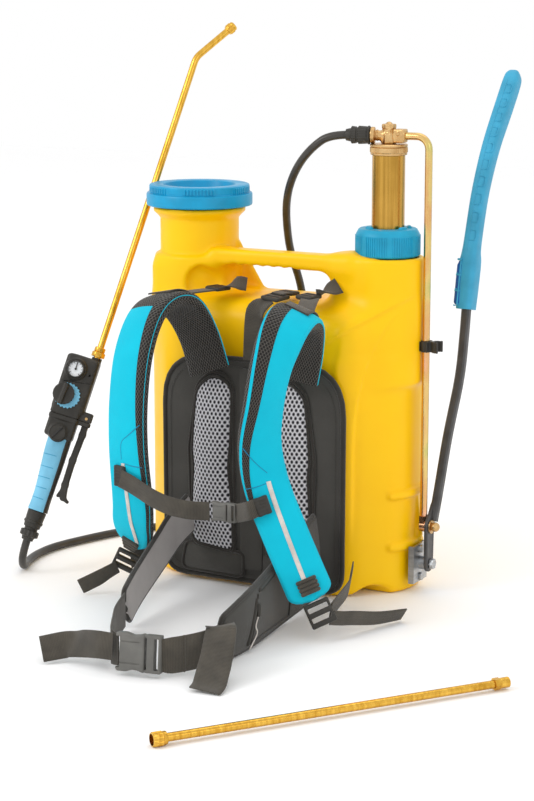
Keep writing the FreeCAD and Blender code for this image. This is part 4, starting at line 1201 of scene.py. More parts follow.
def arc_outline(corners, steps=7):
    """Closed outline from (x, z, radius) corners, with even points along it."""
    line = []
    count = len(corners)
    for k in range(count):
        corner = vec(*corners[k][:2])
        before = vec(*corners[k - 1][:2])
        after = vec(*corners[(k + 1) % count][:2])
        turn = math.acos(np.clip(np.dot(unit(before - corner), unit(after - corner)), -1, 1))
        reach = corners[k][2] / math.tan(turn / 2)
        first = corner + unit(before - corner) * reach
        last = corner + unit(after - corner) * reach
        for t in np.linspace(0, 1, steps):
            line.append(first * (1 - t) ** 2 + 2 * corner * t * (1 - t) + last * t ** 2)
    line = np.array(line + [line[0]])
    run = run_of(line)
    at = np.linspace(0, run[-1], int(run[-1] / 5), endpoint=False)
    return sample(at, run, line)


def around(name, outline, y, radius):
    """A rolled border of piping along a closed outline."""
    line = np.column_stack([outline[:, 0], np.full(len(outline), y), outline[:, 1]])
    line = np.vstack([line, line[:1]])
    sewn(name, [tube(line, radius, 10)], PIPING, "frame")


PANEL_LINE = arc_outline([(PANEL_MID_X + x, z, r) for x, z, r in ((-136, 9, 28), (136, 9, 28), (137, 317, 66),
                                                                  (-137, 317, 66))])
panel = soft_plate("back_panel", PANEL_LINE, 2.6, float(PANEL_HIGH[1]) - 0.3, PANEL_FACE + 1.0, [PANEL_CLOTH])
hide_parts("back_panel")
around("back_panel_piping", PANEL_LINE, PANEL_FACE + 2.4, 3.9)
INSET = np.column_stack([PANEL_MID_X + (PANEL_LINE[:, 0] - PANEL_MID_X) * 0.93,
                         165 + (PANEL_LINE[:, 1] - 165) * 0.94])
line = np.column_stack([INSET[:, 0], np.full(len(INSET), PANEL_FACE - 0.7), INSET[:, 1]])
sewn("back_panel_stitches", dashes(line, 4.2, 2.6, 0.45), BLACK_CLOTH, "frame")


def back_pad(side, node):
    back = float(span(node)[1][1])
    corners = [(25, 42, 13), (93, 50, 18), (97, 190, 60), (84, 280, 34), (56, 303, 26), (27, 286, 24)]
    corners = [(PANEL_MID_X + side * x, z, r) for x, z, r in corners]
    outline = arc_outline(corners if side > 0 else corners[::-1])
    middle = outline.mean(0)
    inside = middle + (outline - middle) * (1 - 8.5 / np.linalg.norm(outline - middle, axis=1, keepdims=True))
    pad = soft_plate(node, inside, 11.5, back - 0.6, PANEL_FACE - 5.0, [PAD_MESH], 12)
    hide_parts(node)
    soft_plate(node + "_rim", outline, 2.0, back - 0.4, PANEL_FACE - 3.2, [BLACK_CLOTH])
    around(node + "_binding", middle + (inside - middle) * 1.03, PANEL_FACE - 5.4, 1.7)
    around(node + "_piping", outline, PANEL_FACE - 2.6, 2.2)


back_pad(1, "right_back_pad")
back_pad(-1, "left_back_pad")

SPINE_OUT = arc_outline([(PANEL_MID_X - 17, 26, 6), (PANEL_MID_X + 17, 26, 6), (PANEL_MID_X + 17, 306, 6),
                         (PANEL_MID_X - 17, 306, 6)])
soft_plate("spine_strip", SPINE_OUT, 2.0, PANEL_FACE, PANEL_FACE - 3.0, [PANEL_CLOTH])
LUMBAR = arc_outline([(-120, 16, 10), (-22, 14, 8), (-22, 48, 6), (-112, 56, 10)])
soft_plate("left_lumbar_pocket", LUMBAR, 5.0, PANEL_FACE, PANEL_FACE - 3.0, [PANEL_CLOTH])
around("left_lumbar_piping", LUMBAR, PANEL_FACE - 3.4, 2.2)
LUMBAR_RIGHT = arc_outline([(8, 14, 8), (104, 16, 10), (96, 60, 10), (8, 50, 6)])
soft_plate("right_lumbar_pocket", LUMBAR_RIGHT, 5.0, PANEL_FACE, PANEL_FACE - 3.0, [PANEL_CLOTH])


# ---- shoulder straps --------------------------------------------------------------------------------
RIGHT_ROUTE = [(72, -120, 302), (80, -121, 345), (88, -136, 382), (94, -168, 396), (95, -204, 384),
               (92, -232, 345), (88, -247, 292), (84, -250, 240), (93, -249, 190), (121, -254, 134),
               (168, -262, 50)]
RIGHT_FACING = [(0, 1, 0), (0, 1, 0.1), (0.15, 0.8, 0.6), (0.35, 0, 0.94), (0.6, -0.5, 0.62),
                (0.86, -0.45, 0.22), (0.9, -0.43, 0), (0.8, -0.6, 0), (0.62, -0.78, 0), (0.5, -0.86, 0.1),
                (0.46, -0.87, 0.2)]
LEFT_ROUTE = [(-62, -120, 302), (-78, -121, 350), (-93, -136, 388), (-104, -168, 402), (-109, -206, 386),
              (-112, -234, 340), (-113, -247, 278), (-112, -250, 214), (-111, -243, 146), (-120, -228, 110),
              (-136, -204, 70)]
LEFT_FACING = [(0, 1, 0), (0, 1, 0.1), (-0.1, 0.8, 0.6), (-0.2, 0, 0.97), (-0.28, -0.65, 0.7),
               (-0.26, -0.92, 0.28), (-0.25, -0.96, 0.1), (-0.22, -0.97, 0), (-0.15, -0.98, -0.1),
               (-0.12, -0.97, -0.2), (-0.1, -0.95, -0.25)]


def strap_band(route, facing, width):
    thick = [12.0] * 2 + [17.5] * (len(route) - 3) + [12.0]
    return Band([(vec(*p), vec(*f), width, t) for p, f, t in zip(route, facing, thick)], 3.0)


def shoulder_strap(name, route, facing, width, tip):
    band = strap_band(route, facing, width)
    tapered(band, 0, tip)
    piece = padded_band(name, band, (CROWN_OUT, CROWN_IN), STRAP_EDGE, [BLUE_CLOTH, STRAP_MESH])
    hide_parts(name)
    seam = []
    for side in (-1.0, 1.0):
        run = np.linspace(2, band.run[-1] - 2, 160)
        seam.append(tube(band.at(run, side, band.top(run) - 5.6), 0.8, 6))
    sewn(name + "_edge_seams", seam, BLUE_CLOTH, "frame")
    return band, piece


RIGHT = shoulder_strap("right_shoulder_strap", RIGHT_ROUTE, RIGHT_FACING, 58.0, 16.0)[0]
LEFT, left_cover = shoulder_strap("left_shoulder_strap", LEFT_ROUTE, LEFT_FACING, 62.0, 44.0)


def crowned(band, run, side):
    """Height of the cover above the middle of the band."""
    return band.top(run) + CROWN_OUT * (1 - np.asarray(side, float) ** 2)


def seam_line(name, band, points):
    """A seam drawn on the cover through (run, side) points."""
    rows, _ = smooth([(a, b * 30, 0) for a, b in points], 2.5)
    run, side = rows[:, 0], rows[:, 1] / 30
    line = band.at(run, side, crowned(band, run, side) - 0.15)
    sewn(name, [tube(line, 0.55, 6, True)], BLUE_SEAM, "frame")


def cover_strip(name, band, points):
    """Reflective tape sewn on the cover through (run, side) points."""
    rows, _ = smooth([(a, b * 30, 0) for a, b in points], 3.0)
    run, side = rows[:, 0], rows[:, 1] / 30
    line = band.at(run, side, crowned(band, run, side) + 0.5)
    stations = [(p, f, TAPE_WIDTH, 0.8) for p, f in zip(line, band.facing(run))]
    add_skin(name, Band(stations, 3.0).rings(flat_section), [TAPE], "frame", sharp=70)


TAPE_WIDTH = 5.6
BLUE_SEAM = woven("blue_seam", (0.0, 0.17, 0.34), (0.0, 0.26, 0.46), 0.001, 0.0002)
R_END = float(RIGHT.run[-1])
L_END = float(LEFT.run[-1])


def run_near(band, place):
    """How far along the band the nearest point to a place is."""
    return float(band.run[np.argmin(np.linalg.norm(band.line - np.asarray(place, float), axis=1))])


R_CHEST = run_near(RIGHT, (100, -250, 170))
L_CHEST = run_near(LEFT, (-112, -250, 180))
R_CREST = run_near(RIGHT, (95, -190, 392))
L_CREST = run_near(LEFT, (-108, -200, 390))
mesh_side("right_strap_mesh_side", RIGHT, -1.0, [(R_CREST - 24, 4.6), (R_CREST + 30, 3.9),
                                                 (R_CHEST - 70, 1.4), (R_CHEST, 0.4)])
mesh_side("left_strap_mesh_side", LEFT, 1.0, [(L_CREST - 70, 5.5), (L_CREST, 4.2), (L_CHEST - 60, 2.2),
                                             (L_CHEST + 40, 0.8), (L_END - 24, 0.2)])
ring_size = len(padded_section(CROWN_OUT, CROWN_IN, STRAP_EDGE)(60.0, 16.0, 0))
for face in left_cover.data.polygons:
    row = min(v // ring_size for v in face.vertices)
    if row < len(LEFT.run) and LEFT.run[row] < L_CREST:
        face.material_index = 1
seam_line("right_strap_dart", RIGHT, [(R_CHEST - 74, -0.95), (R_CHEST - 50, -0.25), (R_CHEST - 38, 0.1)])
seam_line("right_strap_cross_seam", RIGHT, [(R_CHEST - 24, -0.98), (R_CHEST - 23, -0.5),
                                            (R_CHEST - 24, -0.05)])
seam_line("left_strap_dart", LEFT, [(L_CHEST - 70, 0.98), (L_CHEST - 56, 0.4), (L_CHEST - 44, -0.05),
                                    (L_CHEST - 22, -0.1)])
seam_line("left_strap_cross_seam", LEFT, [(L_CHEST - 17, 0.0), (L_CHEST - 15, 0.5), (L_CHEST - 14, 0.98)])
cover_strip("right_strap_tape", RIGHT, [(R_CHEST - 26, 0.08), (R_CHEST, 0.1), (R_CHEST + 50, 0.06),
                                        (R_END - 24, -0.02)])
cover_strip("left_strap_tape", LEFT, [(L_CHEST - 17, -0.02), (L_CHEST + 6, 0.0), (L_CHEST + 50, 0.1),
                                      (L_END - 26, 0.5)])


def anchor_patch(name, band, start, end, width):
    """Black webbing folded over the strap where it leaves for the tank."""
    run = np.linspace(start, end, 16)
    line = band.at(run, 0.0, crowned(band, run, 0.0) + 1.2)
    stations = [(p, f, width, 2.0) for p, f in zip(line, band.facing(run))]
    add_skin(name, Band(stations, 3.0).rings(flat_section), [WEBBING], "frame", sharp=70)


R_TOP = run_near(RIGHT, RIGHT_ROUTE[3])
L_TOP = run_near(LEFT, LEFT_ROUTE[3])
anchor_patch("right_strap_anchor", RIGHT, R_TOP - 34, R_TOP + 8, 34)
anchor_patch("left_strap_anchor", LEFT, L_TOP - 30, L_TOP + 6, 40)


def loop_stack(name, band, run, side, width, count=4):
    """Ribbed webbing gathered in folds where the adjuster is sewn on."""
    parts = []
    for k in range(count):
        line = [band.at([run + 5.2 * k], side + d, [float(crowned(band, run, side)) + 1.6])[0]
                for d in np.linspace(-1, 1, 7) * width / float(np.interp(run, band.run, band.width))]
        parts.append(tube(line, 2.7, 8, True))
    sewn(name, parts, WEBBING, "frame")


loop_stack("right_strap_end_loop", RIGHT, R_END - 27, 0.05, 24)
loop_stack("left_strap_end_loop", LEFT, L_END - 22, 0.15, 24)


# ---- webbing --------------------------------------------------------------------------------------
def sewn_webbing(name, runs):
    """Runs of webbing, each with its middle line, the direction of its width, and its widths."""
    parts = []
    for points, across, width in runs:
        band = Band(strip(points, across, width), 4.0)
        parts.append(skin(band.rings(flat_section)))
    return sewn(name, parts, WEBBING, "frame", 70)


UP = (0, 0, 1)
piece = sewn_webbing("right_lower_webbing", [
    ([(184, -246, 34), (179, -210, 39), (172, -170, 43), (160, -138, 46), (146, -106, 48)], (0.2, 0, 1), 25),
    ([(192, -258, 30), (199, -242, 26), (206, -226, 23), (222, -184, 14), (240, -144, 11)],
     [(0.3, 0, 1), (0.3, 0, 1), (0.3, 0, 1), (0.4, 0, 0.9), (0.6, 0, 0.8)], 20)])
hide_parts("right_lower_webbing")
piece = sewn_webbing("left_lower_webbing", [
    ([(-152, -182, 42), (-154, -165, 45), (-151, -150, 46), (-152, -128, 47), (-150, -104, 48)], UP, 25),
    ([(-158, -208, 38), (-168, -219, 31), (-178, -226, 24), (-190, -233, 17), (-199, -238, 12)],
     (0.5, 0.3, 0.8), 20)])
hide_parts("left_lower_webbing")
piece = sewn_webbing("chest_webbing", [([(-116, -264.5, 178), (-100, -266, 173), (-84, -270, 168),
                                         (-60, -277, 161), (-36, -280, 155), (-14, -279, 152), (0, -276, 151),
                                         (21, -269, 151)], (0.1, 0, 1), 24),
                                       ([(59, -266, 152), (75, -276, 158), (87, -283, 163), (94, -279, 166)],
                                        UP, 23)])
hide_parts("chest_webbing")
piece = sewn_webbing("left_belt_webbing", [([(-60, -348, 29), (-47, -384, 29), (-36, -410, 29),
                                             (-20, -440, 29), (-8, -462, 29), (6, -485, 29), (21, -493, 29)],
                                            UP, [45, 45, 45, 45, 45, 44, 38]),
                                           ([(16, -499, 34), (-4, -500, 34), (-30, -492, 29), (-48, -486, 24),
                                             (-62, -487, 21), (-84, -504, 17)],
                                            [(0, 0.1, 1), (0, 0.2, 1), (0, 0.3, 0.9), (0.2, 0.4, 0.75),
                                             (0.4, 0.5, 0.6), (0.5, 0.6, 0.35)], 33)])
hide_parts("left_belt_webbing")
piece = sewn_webbing("right_belt_webbing", [
    ([(73, -487, 28.5), (84, -481, 28), (92, -472, 28), (98, -462, 28), (107, -446, 28.5), (113, -426, 29),
      (114, -404, 29.5)], UP, [38, 44, 45, 45, 45, 45, 45]),
    ([(119, -424, 53), (127, -429, 56), (134, -446, 44), (141, -466, 29), (147, -488, 14), (150, -500, 7),
      (151, -512, 4)], (0.9, 0.4, 0), [34, 36, 38, 39, 40, 40, 40])])
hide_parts("right_belt_webbing")
piece = sewn_webbing("top_webbing", [([(-10, -97, 318), (-10, -95, 345), (-10, -91, 372), (-6, -91, 384),
                                       (6, -93, 394), (14, -88, 401)], [(1, 0, 0), (1, 0, 0), (1, 0, 0),
                                                                        (1, -0.1, 0.1), (1, -0.5, 0.1),
                                                                        (0.9, -0.5, 0)],
                                      [26, 26, 27, 30, 28, 24]), ([(-103, -152, 409), (-97, -128, 408),
                                                                   (-91, -104, 407.5), (-84, -80, 407)],
                                                                  (1, 0.2, 0), 23),
                                     ([(92, -140, 397), (86, -124, 401), (80, -106, 405), (72, -86, 406.5)],
                                      (0.9, 0.3, 0), 24)])
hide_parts("top_webbing")
sewn_webbing("top_webbing_tongues", [
    ([(18, -76, 408), (22, -66, 409), (24, -56, 407), (22, -44, 404)], (0.9, -0.3, 0), 24),
    ([(-72, -64, 409), (-62, -58, 412), (-54, -54, 415), (-44, -48, 413)],
     [(0.3, 1, 0), (0.4, 1, 0.3), (0.5, 0.9, 0.4), (0.6, 0.9, 0.2)], [18, 22, 26, 24]),
    ([(76, -74, 409), (82, -66, 412), (90, -58, 417), (97, -50, 421)],
     [(0.5, 0.8, 0), (0.5, 0.8, 0.3), (0.5, 0.8, 0.5), (0.4, 0.8, 0.6)], [20, 22, 24, 24])])
stitch = dashes([(68, -268, 142), (68, -268, 163)], 2.4, 1.6, 0.4)
stitch += dashes([(96.5, -464.5, 8), (96.5, -464.5, 50)], 2.6, 1.8, 0.5)
sewn("webbing_bar_tacks", stitch, BLACK_CLOTH, "frame")
sewn("waist_webbing_seam", [tube([(96.5, -465.5, 5.6), (96.5, -465.5, 50.4)], 1.5, 8, True)], WEBBING,
     "frame")


# ---- plastic buckles --------------------------------------------------------------------------------
def frame_axes(along, across):
    along = unit(along)
    across = unit(np.asarray(across, float) - along * np.dot(across, along))
    return along, across, np.cross(along, across)


def lock_field(wide, long, bars):
    def field(q):
        x, y, z = xyz(q)
        shell = f_box(q, (0, 0, 0), (long, wide, 2.7), 2.2)
        for middle, half in bars:
            shell = carve(shell, f_box(q, (middle, 0, 0), (half, wide - 3.6, 9), 1.2), 0.8)
        for middle in (-long + 2.6, long - 3.2, -1.4):
            shell = meld(shell, f_drum(q, (middle, -wide + 3, 0.9), (middle, wide - 3, 0.9), 2.5, 0.6), 1.2)
        return shell
    return field


def adjuster(name, centre, along, across, long=16.0, wide=17.0):
    bars = [(-long * 0.46, long * 0.2), (long * 0.36, long * 0.2)]
    return moulded(name, lock_field(wide, long, bars), (-long - 1, -wide - 1, -4), (long + 1, wide + 1, 5),
                   0.9, BLACK, "frame", set_in(centre, *frame_axes(along, across)), 40)


lock = adjuster("right_ladder_lock", (179, -265, 36), (0.5, -0.08, -0.85), (1, 0.4, 0))
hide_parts("ladder_locks")
adjuster("left_ladder_lock", (-148, -201, 46), (-0.5, 0.15, -0.85), (1, 0.25, 0))
lock = adjuster("top_buckle_left", (-78, -68, 408), (1, -0.3, 0), (0.3, 1, 0), 13, 13)
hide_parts("top_buckles")
adjuster("top_buckle_middle", (18, -82, 404), (0.3, 0.9, 0.1), (1, -0.15, 0), 12, 17)
adjuster("top_buckle_right", (67, -80, 408), (0.3, 0.9, 0.05), (1, -0.15, 0), 12, 14)
adjuster("top_buckle_back", (24, -54, 407), (0.3, 0.9, -0.05), (1, -0.15, 0), 8, 14)


def side_release(half_long, half_wide, half_thick):
    """Side-release buckle: a socket with open sides, two sprung arms and two webbing bars."""
    def field(q):
        x, y, z = xyz(q)
        socket = f_box(q, (-half_long * 0.28, 0, 0), (half_long * 0.62, half_wide, half_thick),
                       half_thick * 0.62)
        pinch = np.hypot(x + half_long * 0.1, np.abs(y) - half_wide * 1.5) - half_wide * 0.62
        socket = carve(socket, pinch, 3.0)
        plug = f_box(q, (half_long * 0.66, 0, 0), (half_long * 0.33, half_wide * 0.97, half_thick * 0.9), 1.6)
        arms = f_pill(np.stack([x, np.abs(y), z], -1), (half_long * 0.5, half_wide * 0.86, 0),
                      (-half_long * 0.12, half_wide * 0.8, 0), half_thick * 0.52, half_thick * 0.42)
        body = meld(meld(socket, plug, 0.8), arms, 1.4)
        for side in (-1, 1):
            bar_slot = f_box(q, (side * half_long * 0.8, 0, 0), (half_long * 0.09, half_wide * 0.8, 20), 1)
            body = carve(body, bar_slot, 0.8)
        window = f_box(q, (half_long * 0.36, 0, 0), (half_long * 0.045, half_wide * 0.82, 20), 0.6)
        body = carve(body, window, 0.8)
        groove = np.maximum(np.abs(np.abs(y) - half_wide * 0.55) - 0.7, half_thick - 1.0 - np.abs(z))
        return carve(body, np.maximum(groove, np.abs(x + half_long * 0.3) - half_long * 0.42), 0.5)
    return field


waist = moulded("waist_buckle", side_release(31, 24, 6.4), (-33, -26, -8), (33, 26, 8), 1.1, GREY, "frame",
                set_in((47, -490.6, 29), *frame_axes((0.985, 0.17, 0), (0, 0.12, 1))), 40)
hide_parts("waist_buckle")
chest = moulded("chest_buckle", side_release(19, 13, 4.4), (-21, -15, -6), (21, 15, 6), 0.8, GREY, "frame",
                set_in((40, -267, 152), *frame_axes((1, 0.02, 0), (0, 0, 1))), 40)
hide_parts("chest_buckle")


def ribbed_clip(name, middle, along, wide, long):
    """Sliding keeper on the tape: a small block with grip ribs."""
    def field(q):
        x, y, z = xyz(q)
        core = f_box(q, (0, 0, 0), (long, wide, 3.2), 1.5)
        ribs = 0.8 * np.cos(y * 2 * math.pi / 4.6)
        bars = np.hypot(np.abs(x) - long + 1.6, z) - 3.6
        return meld(core - np.clip(ribs, 0, 1) * 0.9, both(bars, np.abs(y) - wide, 1), 1)

    return moulded(name, field, (-long - 3, -wide - 2, -5), (long + 3, wide + 2, 5), 0.8, BLACK, "frame",
                   set_in(middle, *frame_axes(along, (0, 0, 1))), 40)


keeper = ribbed_clip("left_chest_clip", (-119.8, -259.2, 180), (15.6, -3.6, 0), 13.5, 8)
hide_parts("chest_clips")
ribbed_clip("right_chest_clip", (100.6, -273.4, 168.5), (12, 9.2, 5), 12, 7.5)


# ---- hip wings ---------------------------------------------------------------------------------------
def hip_wing(name, points, heights, materials, crowns, out, tip):
    dense = [(vec(*p), vec(*out), h, 9.0) for p, h in zip(points, heights)]
    band = Band(dense, 4.0)
    tapered(band, 0, tip, 0.4)
    padded_band(name, band, crowns, 3.6, materials)
    rim = [edge_line(band, side, 0.985) for side in (-1.0, 1.0)]
    loop = np.vstack([rim[0], rim[1][::-1]])
    sewn(name + "_piping", [tube(loop, 3.4, 8, True)], PIPING, "frame")
    return band


WING_R = hip_wing("right_hip_wing", [(98, -118, 66), (104, -180, 58), (108, -258, 46), (117, -345, 39),
                                     (114, -410, 30)], [112, 100, 84, 70, 54], [BLACK_CLOTH, GREY_LINING],
                  (2.4, 0.6), (1, 0, 0), 14)
hip_wing("left_hip_wing", [(-98, -116, 100), (-96, -160, 87), (-92, -200, 71), (-76, -290, 44),
                           (-62, -344, 29)], [54, 52, 50, 46, 46], [GREY_LINING, BLACK_CLOTH], (0.8, 1.6),
         (1, 0, 0), 10)
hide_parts("right_hip_wing")
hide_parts("left_hip_wing")


def wing_line(band, points, lift=0.2, crown=2.4):
    rows, _ = smooth([(a, b * 40, 0) for a, b in points], 3.0)
    run, side = rows[:, 0], rows[:, 1] / 40
    return band.at(run, side, band.top(run) + crown * (1 - side ** 2) + lift)


sewn("right_wing_zip_tape", [tube(wing_line(WING_R, [(40, -0.96), (110, -0.9), (200, -0.8)], -0.6), 3.4, 8,
                                  True)], BLACK_CLOTH, "frame")
sewn("right_wing_zip_teeth", dashes(wing_line(WING_R, [(40, -0.96), (110, -0.9), (200, -0.8)], 2.6), 3.0, 1.6,
                                    1.1), BLACK, "frame")
pocket = [[(206, -0.72), (222, 0.1), (234, 0.82)], [(92, -0.82), (104, 0.1), (112, 0.9)],
          [(112, 0.88), (170, 0.84), (234, 0.8)]]
sewn("right_wing_pocket_seams", [tube(wing_line(WING_R, row, 0.1), 1.5, 8, True) for row in pocket], PIPING,
     "frame")
sewn("right_wing_flap_edge", [tube(wing_line(WING_R, [(212, -0.6), (228, 0.1), (242, 0.8)], 0.5), 2.4, 8,
                                   True)], BLACK_CLOTH, "frame")
pull = wing_line(WING_R, [(214, -0.45), (217, -0.1)], 3.2)
sewn("right_wing_zip_pull", [tube(pull, 3.0, 10, True)], BLACK, "frame")
cord = wing_line(WING_R, [(217, -0.1), (226, 0.2), (222, 0.5), (234, 0.78), (242, 0.96)], 3.4)
sewn("right_wing_pull_cord", [tube(cord, 0.9, 8, True)], TAPE, "frame")


# ---- handset -----------------------------------------------------------------------------------------
HAND_FOOT = vec(-263, -85, 300)
HAND_Z = unit(vec(0.1563, 0.3603, 0.9196))
HAND_Y = -vec(0.470, -0.846, 0.251)
HAND_Y = unit(HAND_Y - HAND_Z * np.dot(HAND_Y, HAND_Z))
HAND_X = np.cross(HAND_Y, HAND_Z)
in_hand = set_in(HAND_FOOT, HAND_X, HAND_Y, HAND_Z)
GAUGE_X, GAUGE_Z = -22.4, -27.0
REGULATOR_X, REGULATOR_Z = -27.5, -65.0
STRAINER_X, STRAINER_Z = -19.0, -119.0
TRIGGER_X, TRIGGER_Z = 13.0, -89.0


def housing_field(q):
    x, y, z = xyz(q)
    upper = f_box(q, (-16.4, 0, -47), (23.6, 16, 41), 6)
    top_cut = (z + 6) * 0.9 + (x + 40) * -0.34 + 0.5
    upper = both(upper, top_cut, 5)
    bottom_cut = -(z + 92) * 0.84 + (x - 8) * 0.54 - 2
    upper = both(upper, bottom_cut, 4)
    gauge_seat = f_drum(q, (GAUGE_X, -20, GAUGE_Z), (GAUGE_X, 6, GAUGE_Z), 15.5, 3)
    upper = meld(upper, gauge_seat, 3)
    seat = f_drum(q, (REGULATOR_X, -18, REGULATOR_Z), (REGULATOR_X, 8, REGULATOR_Z), 12.6, 2)
    middle = f_box(q, (-18, -3, -80), (21, 14.5, 22), 4)
    lower = f_box(q, (-17.5, 0, -109.5), (20.5, 15.5, 17), 4.5)
    knob_seat = f_drum(q, (STRAINER_X, -17.6, STRAINER_Z), (STRAINER_X, 10, STRAINER_Z), 13.2, 2)
    foot = f_pill(q, (-16, 0, -124), (-12, 0, -146), 14.5, 11.5)
    body = meld(meld(upper, seat, 2), middle, 2)
    rest = meld(meld(lower, knob_seat, 2), foot, 5)
    body = np.minimum(body, rest)
    body = meld(body, f_box(q, (-17, 0, -95), (18, 13.5, 8), 3), 0.8)
    ears = f_box(np.stack([x, np.abs(y), z], -1), (10.5, 9.3, -90), (9.5, 2.2, 10), 2)
    body = meld(body, ears, 2)
    spout = f_drum(q, (0, 0, -12), (0, 0, -2), 7.2, 0.8)
    body = meld(body, spout, 2)
    seam = np.maximum(np.abs(y + 5.5) - 0.45, -(body + 1.0))
    split = np.maximum(np.abs(z + 44.5 - 0.16 * (x + 16)) - 0.5, np.maximum(-(body + 1.1), y + 9))
    groove = np.maximum(np.abs(z + 93.5) - 0.7, -(body + 1.4))
    body = carve(body, np.minimum(np.minimum(seam, split), groove), 0.4)
    screw_hole = np.hypot(x + 1, z + 30) - 1.7 + np.maximum(y - 30, 0)
    holes = np.minimum(f_drum(q, (7.5, 2, -38), (7.5, 16, -38), 0.1), screw_hole)
    dial = f_drum(q, (GAUGE_X, -30, GAUGE_Z), (GAUGE_X, -18.2, GAUGE_Z), 13.0, 0.4)
    body = carve(body, dial, 0.5)
    bores = np.minimum(f_drum(q, (0, 0, -92), (0, 0, -24), 6.2), f_drum(q, (0, 0, -14), (0, 0, 3), 5.6))
    ear_gap = f_box(q, (14, 0, -93), (7, 7.1, 18), 0.5)
    return carve(body, np.minimum(np.minimum(bores, ear_gap), holes), 0.4)


housing = moulded("handset_body", housing_field, (-46, -21, -160), (22, 18, 0), 1.25, BLACK, "frame",
                  in_hand, 40)
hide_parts("handset_body")


def on_face(x, z, radius, turn, y):
    """A point on a circle that faces out of the handset."""
    return in_hand(vec(x + radius * math.cos(turn), y, z + radius * math.sin(turn)))


def hand_turned(name, profile, x, z, y_face, material, body, sides=96, wobble=None):
    """A turned part whose axis comes out of the handset's face."""
    centre = in_hand(vec(x, y_face, z))
    return turned(name, profile, centre, material, body, axis=-HAND_Y, sides=sides, wobble=wobble,
                  sharp=32)


bezel = hollow_turned("gauge_bezel", [(11.0, -2.0), (12.6, -2.0), (12.6, 3.6), (12.0, 4.4), (10.9, 4.4),
                                      (10.7, 3.6), (10.7, 0)], in_hand(vec(GAUGE_X, -19.0, GAUGE_Z)), BLACK,
                      "frame", -HAND_Y, 72)
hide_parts("gauge_case")
hand_turned("gauge_dial", [(10.9, -1.6), (10.9, 0.2), (10.6, 0.4), (0.4, 0.4)], GAUGE_X, GAUGE_Z, -19.0, DIAL,
            "frame")
marks = []
for k in range(11):
    turn = math.radians(225 - 27 * k)
    marks.append(tube([on_face(GAUGE_X, GAUGE_Z, r, turn, -19.55)
                       for r in (8.0, 9.8)], 0.34 if k % 5 else 0.6, 5, True))
arc_turns = np.radians(np.linspace(225, -45, 40))
marks.append(tube([on_face(GAUGE_X, GAUGE_Z, 10.1, t, -19.5) for t in arc_turns],
                  0.25, 5))
sewn("gauge_marks", marks, GREY, "frame")


def knob_field(radius, height, bar, taper):
    def field(q):
        x, y, z = xyz(q)
        reach = np.hypot(x, y)
        disc = both(reach - radius, np.abs(z - height * 0.28) - height * 0.28, 1.2)
        grip = f_box(q, (0, 0, height * 0.5), (radius * 0.97, bar, height * 0.5), bar * 0.55)
        grip = both(grip, reach - radius * 0.99, 1.0)
        turn = np.arctan2(y, x)
        notch = 0.35 * (0.5 + 0.5 * np.sign(np.cos(turn * 18)))
        return meld(disc + notch * (z < height * 0.5), grip, taper)
    return field


def face_way(degrees):
    """A direction in the plane of the handset's face."""
    turn = math.radians(degrees)
    return HAND_X * math.cos(turn) + HAND_Z * math.sin(turn)


def knob(name, x, z, y_face, radius, height, bar, body, angle):
    """A round knob with a bar across it, turned by an angle in its own plane."""
    across = face_way(angle)
    over = np.cross(-HAND_Y, across)
    place = set_in(in_hand(vec(x, y_face, z)), across, over, -HAND_Y)
    return moulded(name, knob_field(radius, height, bar, 2.2), (-radius - 1, -radius - 1, -0.5),
                   (radius + 1, radius + 1, height + 1), 0.7, BLACK, body, place, 35)


regulator = knob("regulator_knob", REGULATOR_X, REGULATOR_Z, -18.8, 15.2, 13.5, 3.0, "regulator", 86)
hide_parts("regulator_knob")
filter_knob = knob("filter_knob", STRAINER_X, STRAINER_Z, -17.9, 11.4, 9.0, 0.1, "strainer_knob", 60)
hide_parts("filter_knob")
slot_dir = face_way(60)
slot_mid = in_hand(vec(STRAINER_X, -23.4, STRAINER_Z))
# A dark rubber tube across the knob stands in for its slot: painted shade of the slot.
sewn("filter_knob_slot_shade", [tube([slot_mid - slot_dir * 7.4, slot_mid + slot_dir * 7.4], 1.5, 8, True)], RUBBER,
     "strainer_knob")
sewn("filter_knob_rim", [tube([on_face(STRAINER_X, STRAINER_Z, 11.0, t, -23.0)
                               for t in np.linspace(0, 2 * math.pi, 49)], 0.7, 6)], BLACK, "strainer_knob")


hand_turned("regulator_scale", [(12, -6), (17.2, -5.8), (17.8, -5), (17.4, 0.6), (12, 1.2)], -22.0, -66,
            -18.8, HAND_BLUE, "frame", 176, knurl(22, 0.8, (1, 2, 3)))

GRIP_POINTS = [(-14.5, -124, 33, 31), (-14.5, -140, 33, 31), (-13.5, -165, 31, 28), (-12.5, -198, 27.5, 25.5),
               (-12.5, -218, 27, 26.5), (-12.7, -232, 28.5, 27.5)]
rows, _ = smooth([(x, 0, z, w, d) for x, z, w, d in GRIP_POINTS], 2.5)
hand_line = rows[:, :3]
hand_ahead = unit(np.gradient(hand_line, axis=0))
hand_side = unit(np.cross(vec(0, 1, 0), hand_ahead))
soft_rings, spine_rings = [], []
TURN = np.linspace(0, 2 * math.pi, 40, endpoint=False)
for centre, side, row in zip(hand_line, hand_side, rows):
    c, s = np.cos(TURN), np.sin(TURN)
    a = np.sign(c) * np.abs(c) ** 0.8 * row[3] / 2
    b = np.sign(s) * np.abs(s) ** 0.8 * row[4] / 2
    toward = side if side[0] > 0 else -side
    body_a = np.minimum(a, 12.0)
    soft_rings.append(in_hand(centre + body_a[:, None] * toward + b[:, None] * vec(0, 1, 0)))
    a2 = np.clip(c, -1, 1) * (row[3] / 2 - 1) * 0.42 + row[3] * 0.31
    spine_rings.append(in_hand(centre + a2[:, None] * toward + (b * 0.86)[:, None] * vec(0, 1, 0)))
grip = add_skin("handset_grip", soft_rings, [HAND_BLUE], "frame", sharp=40)
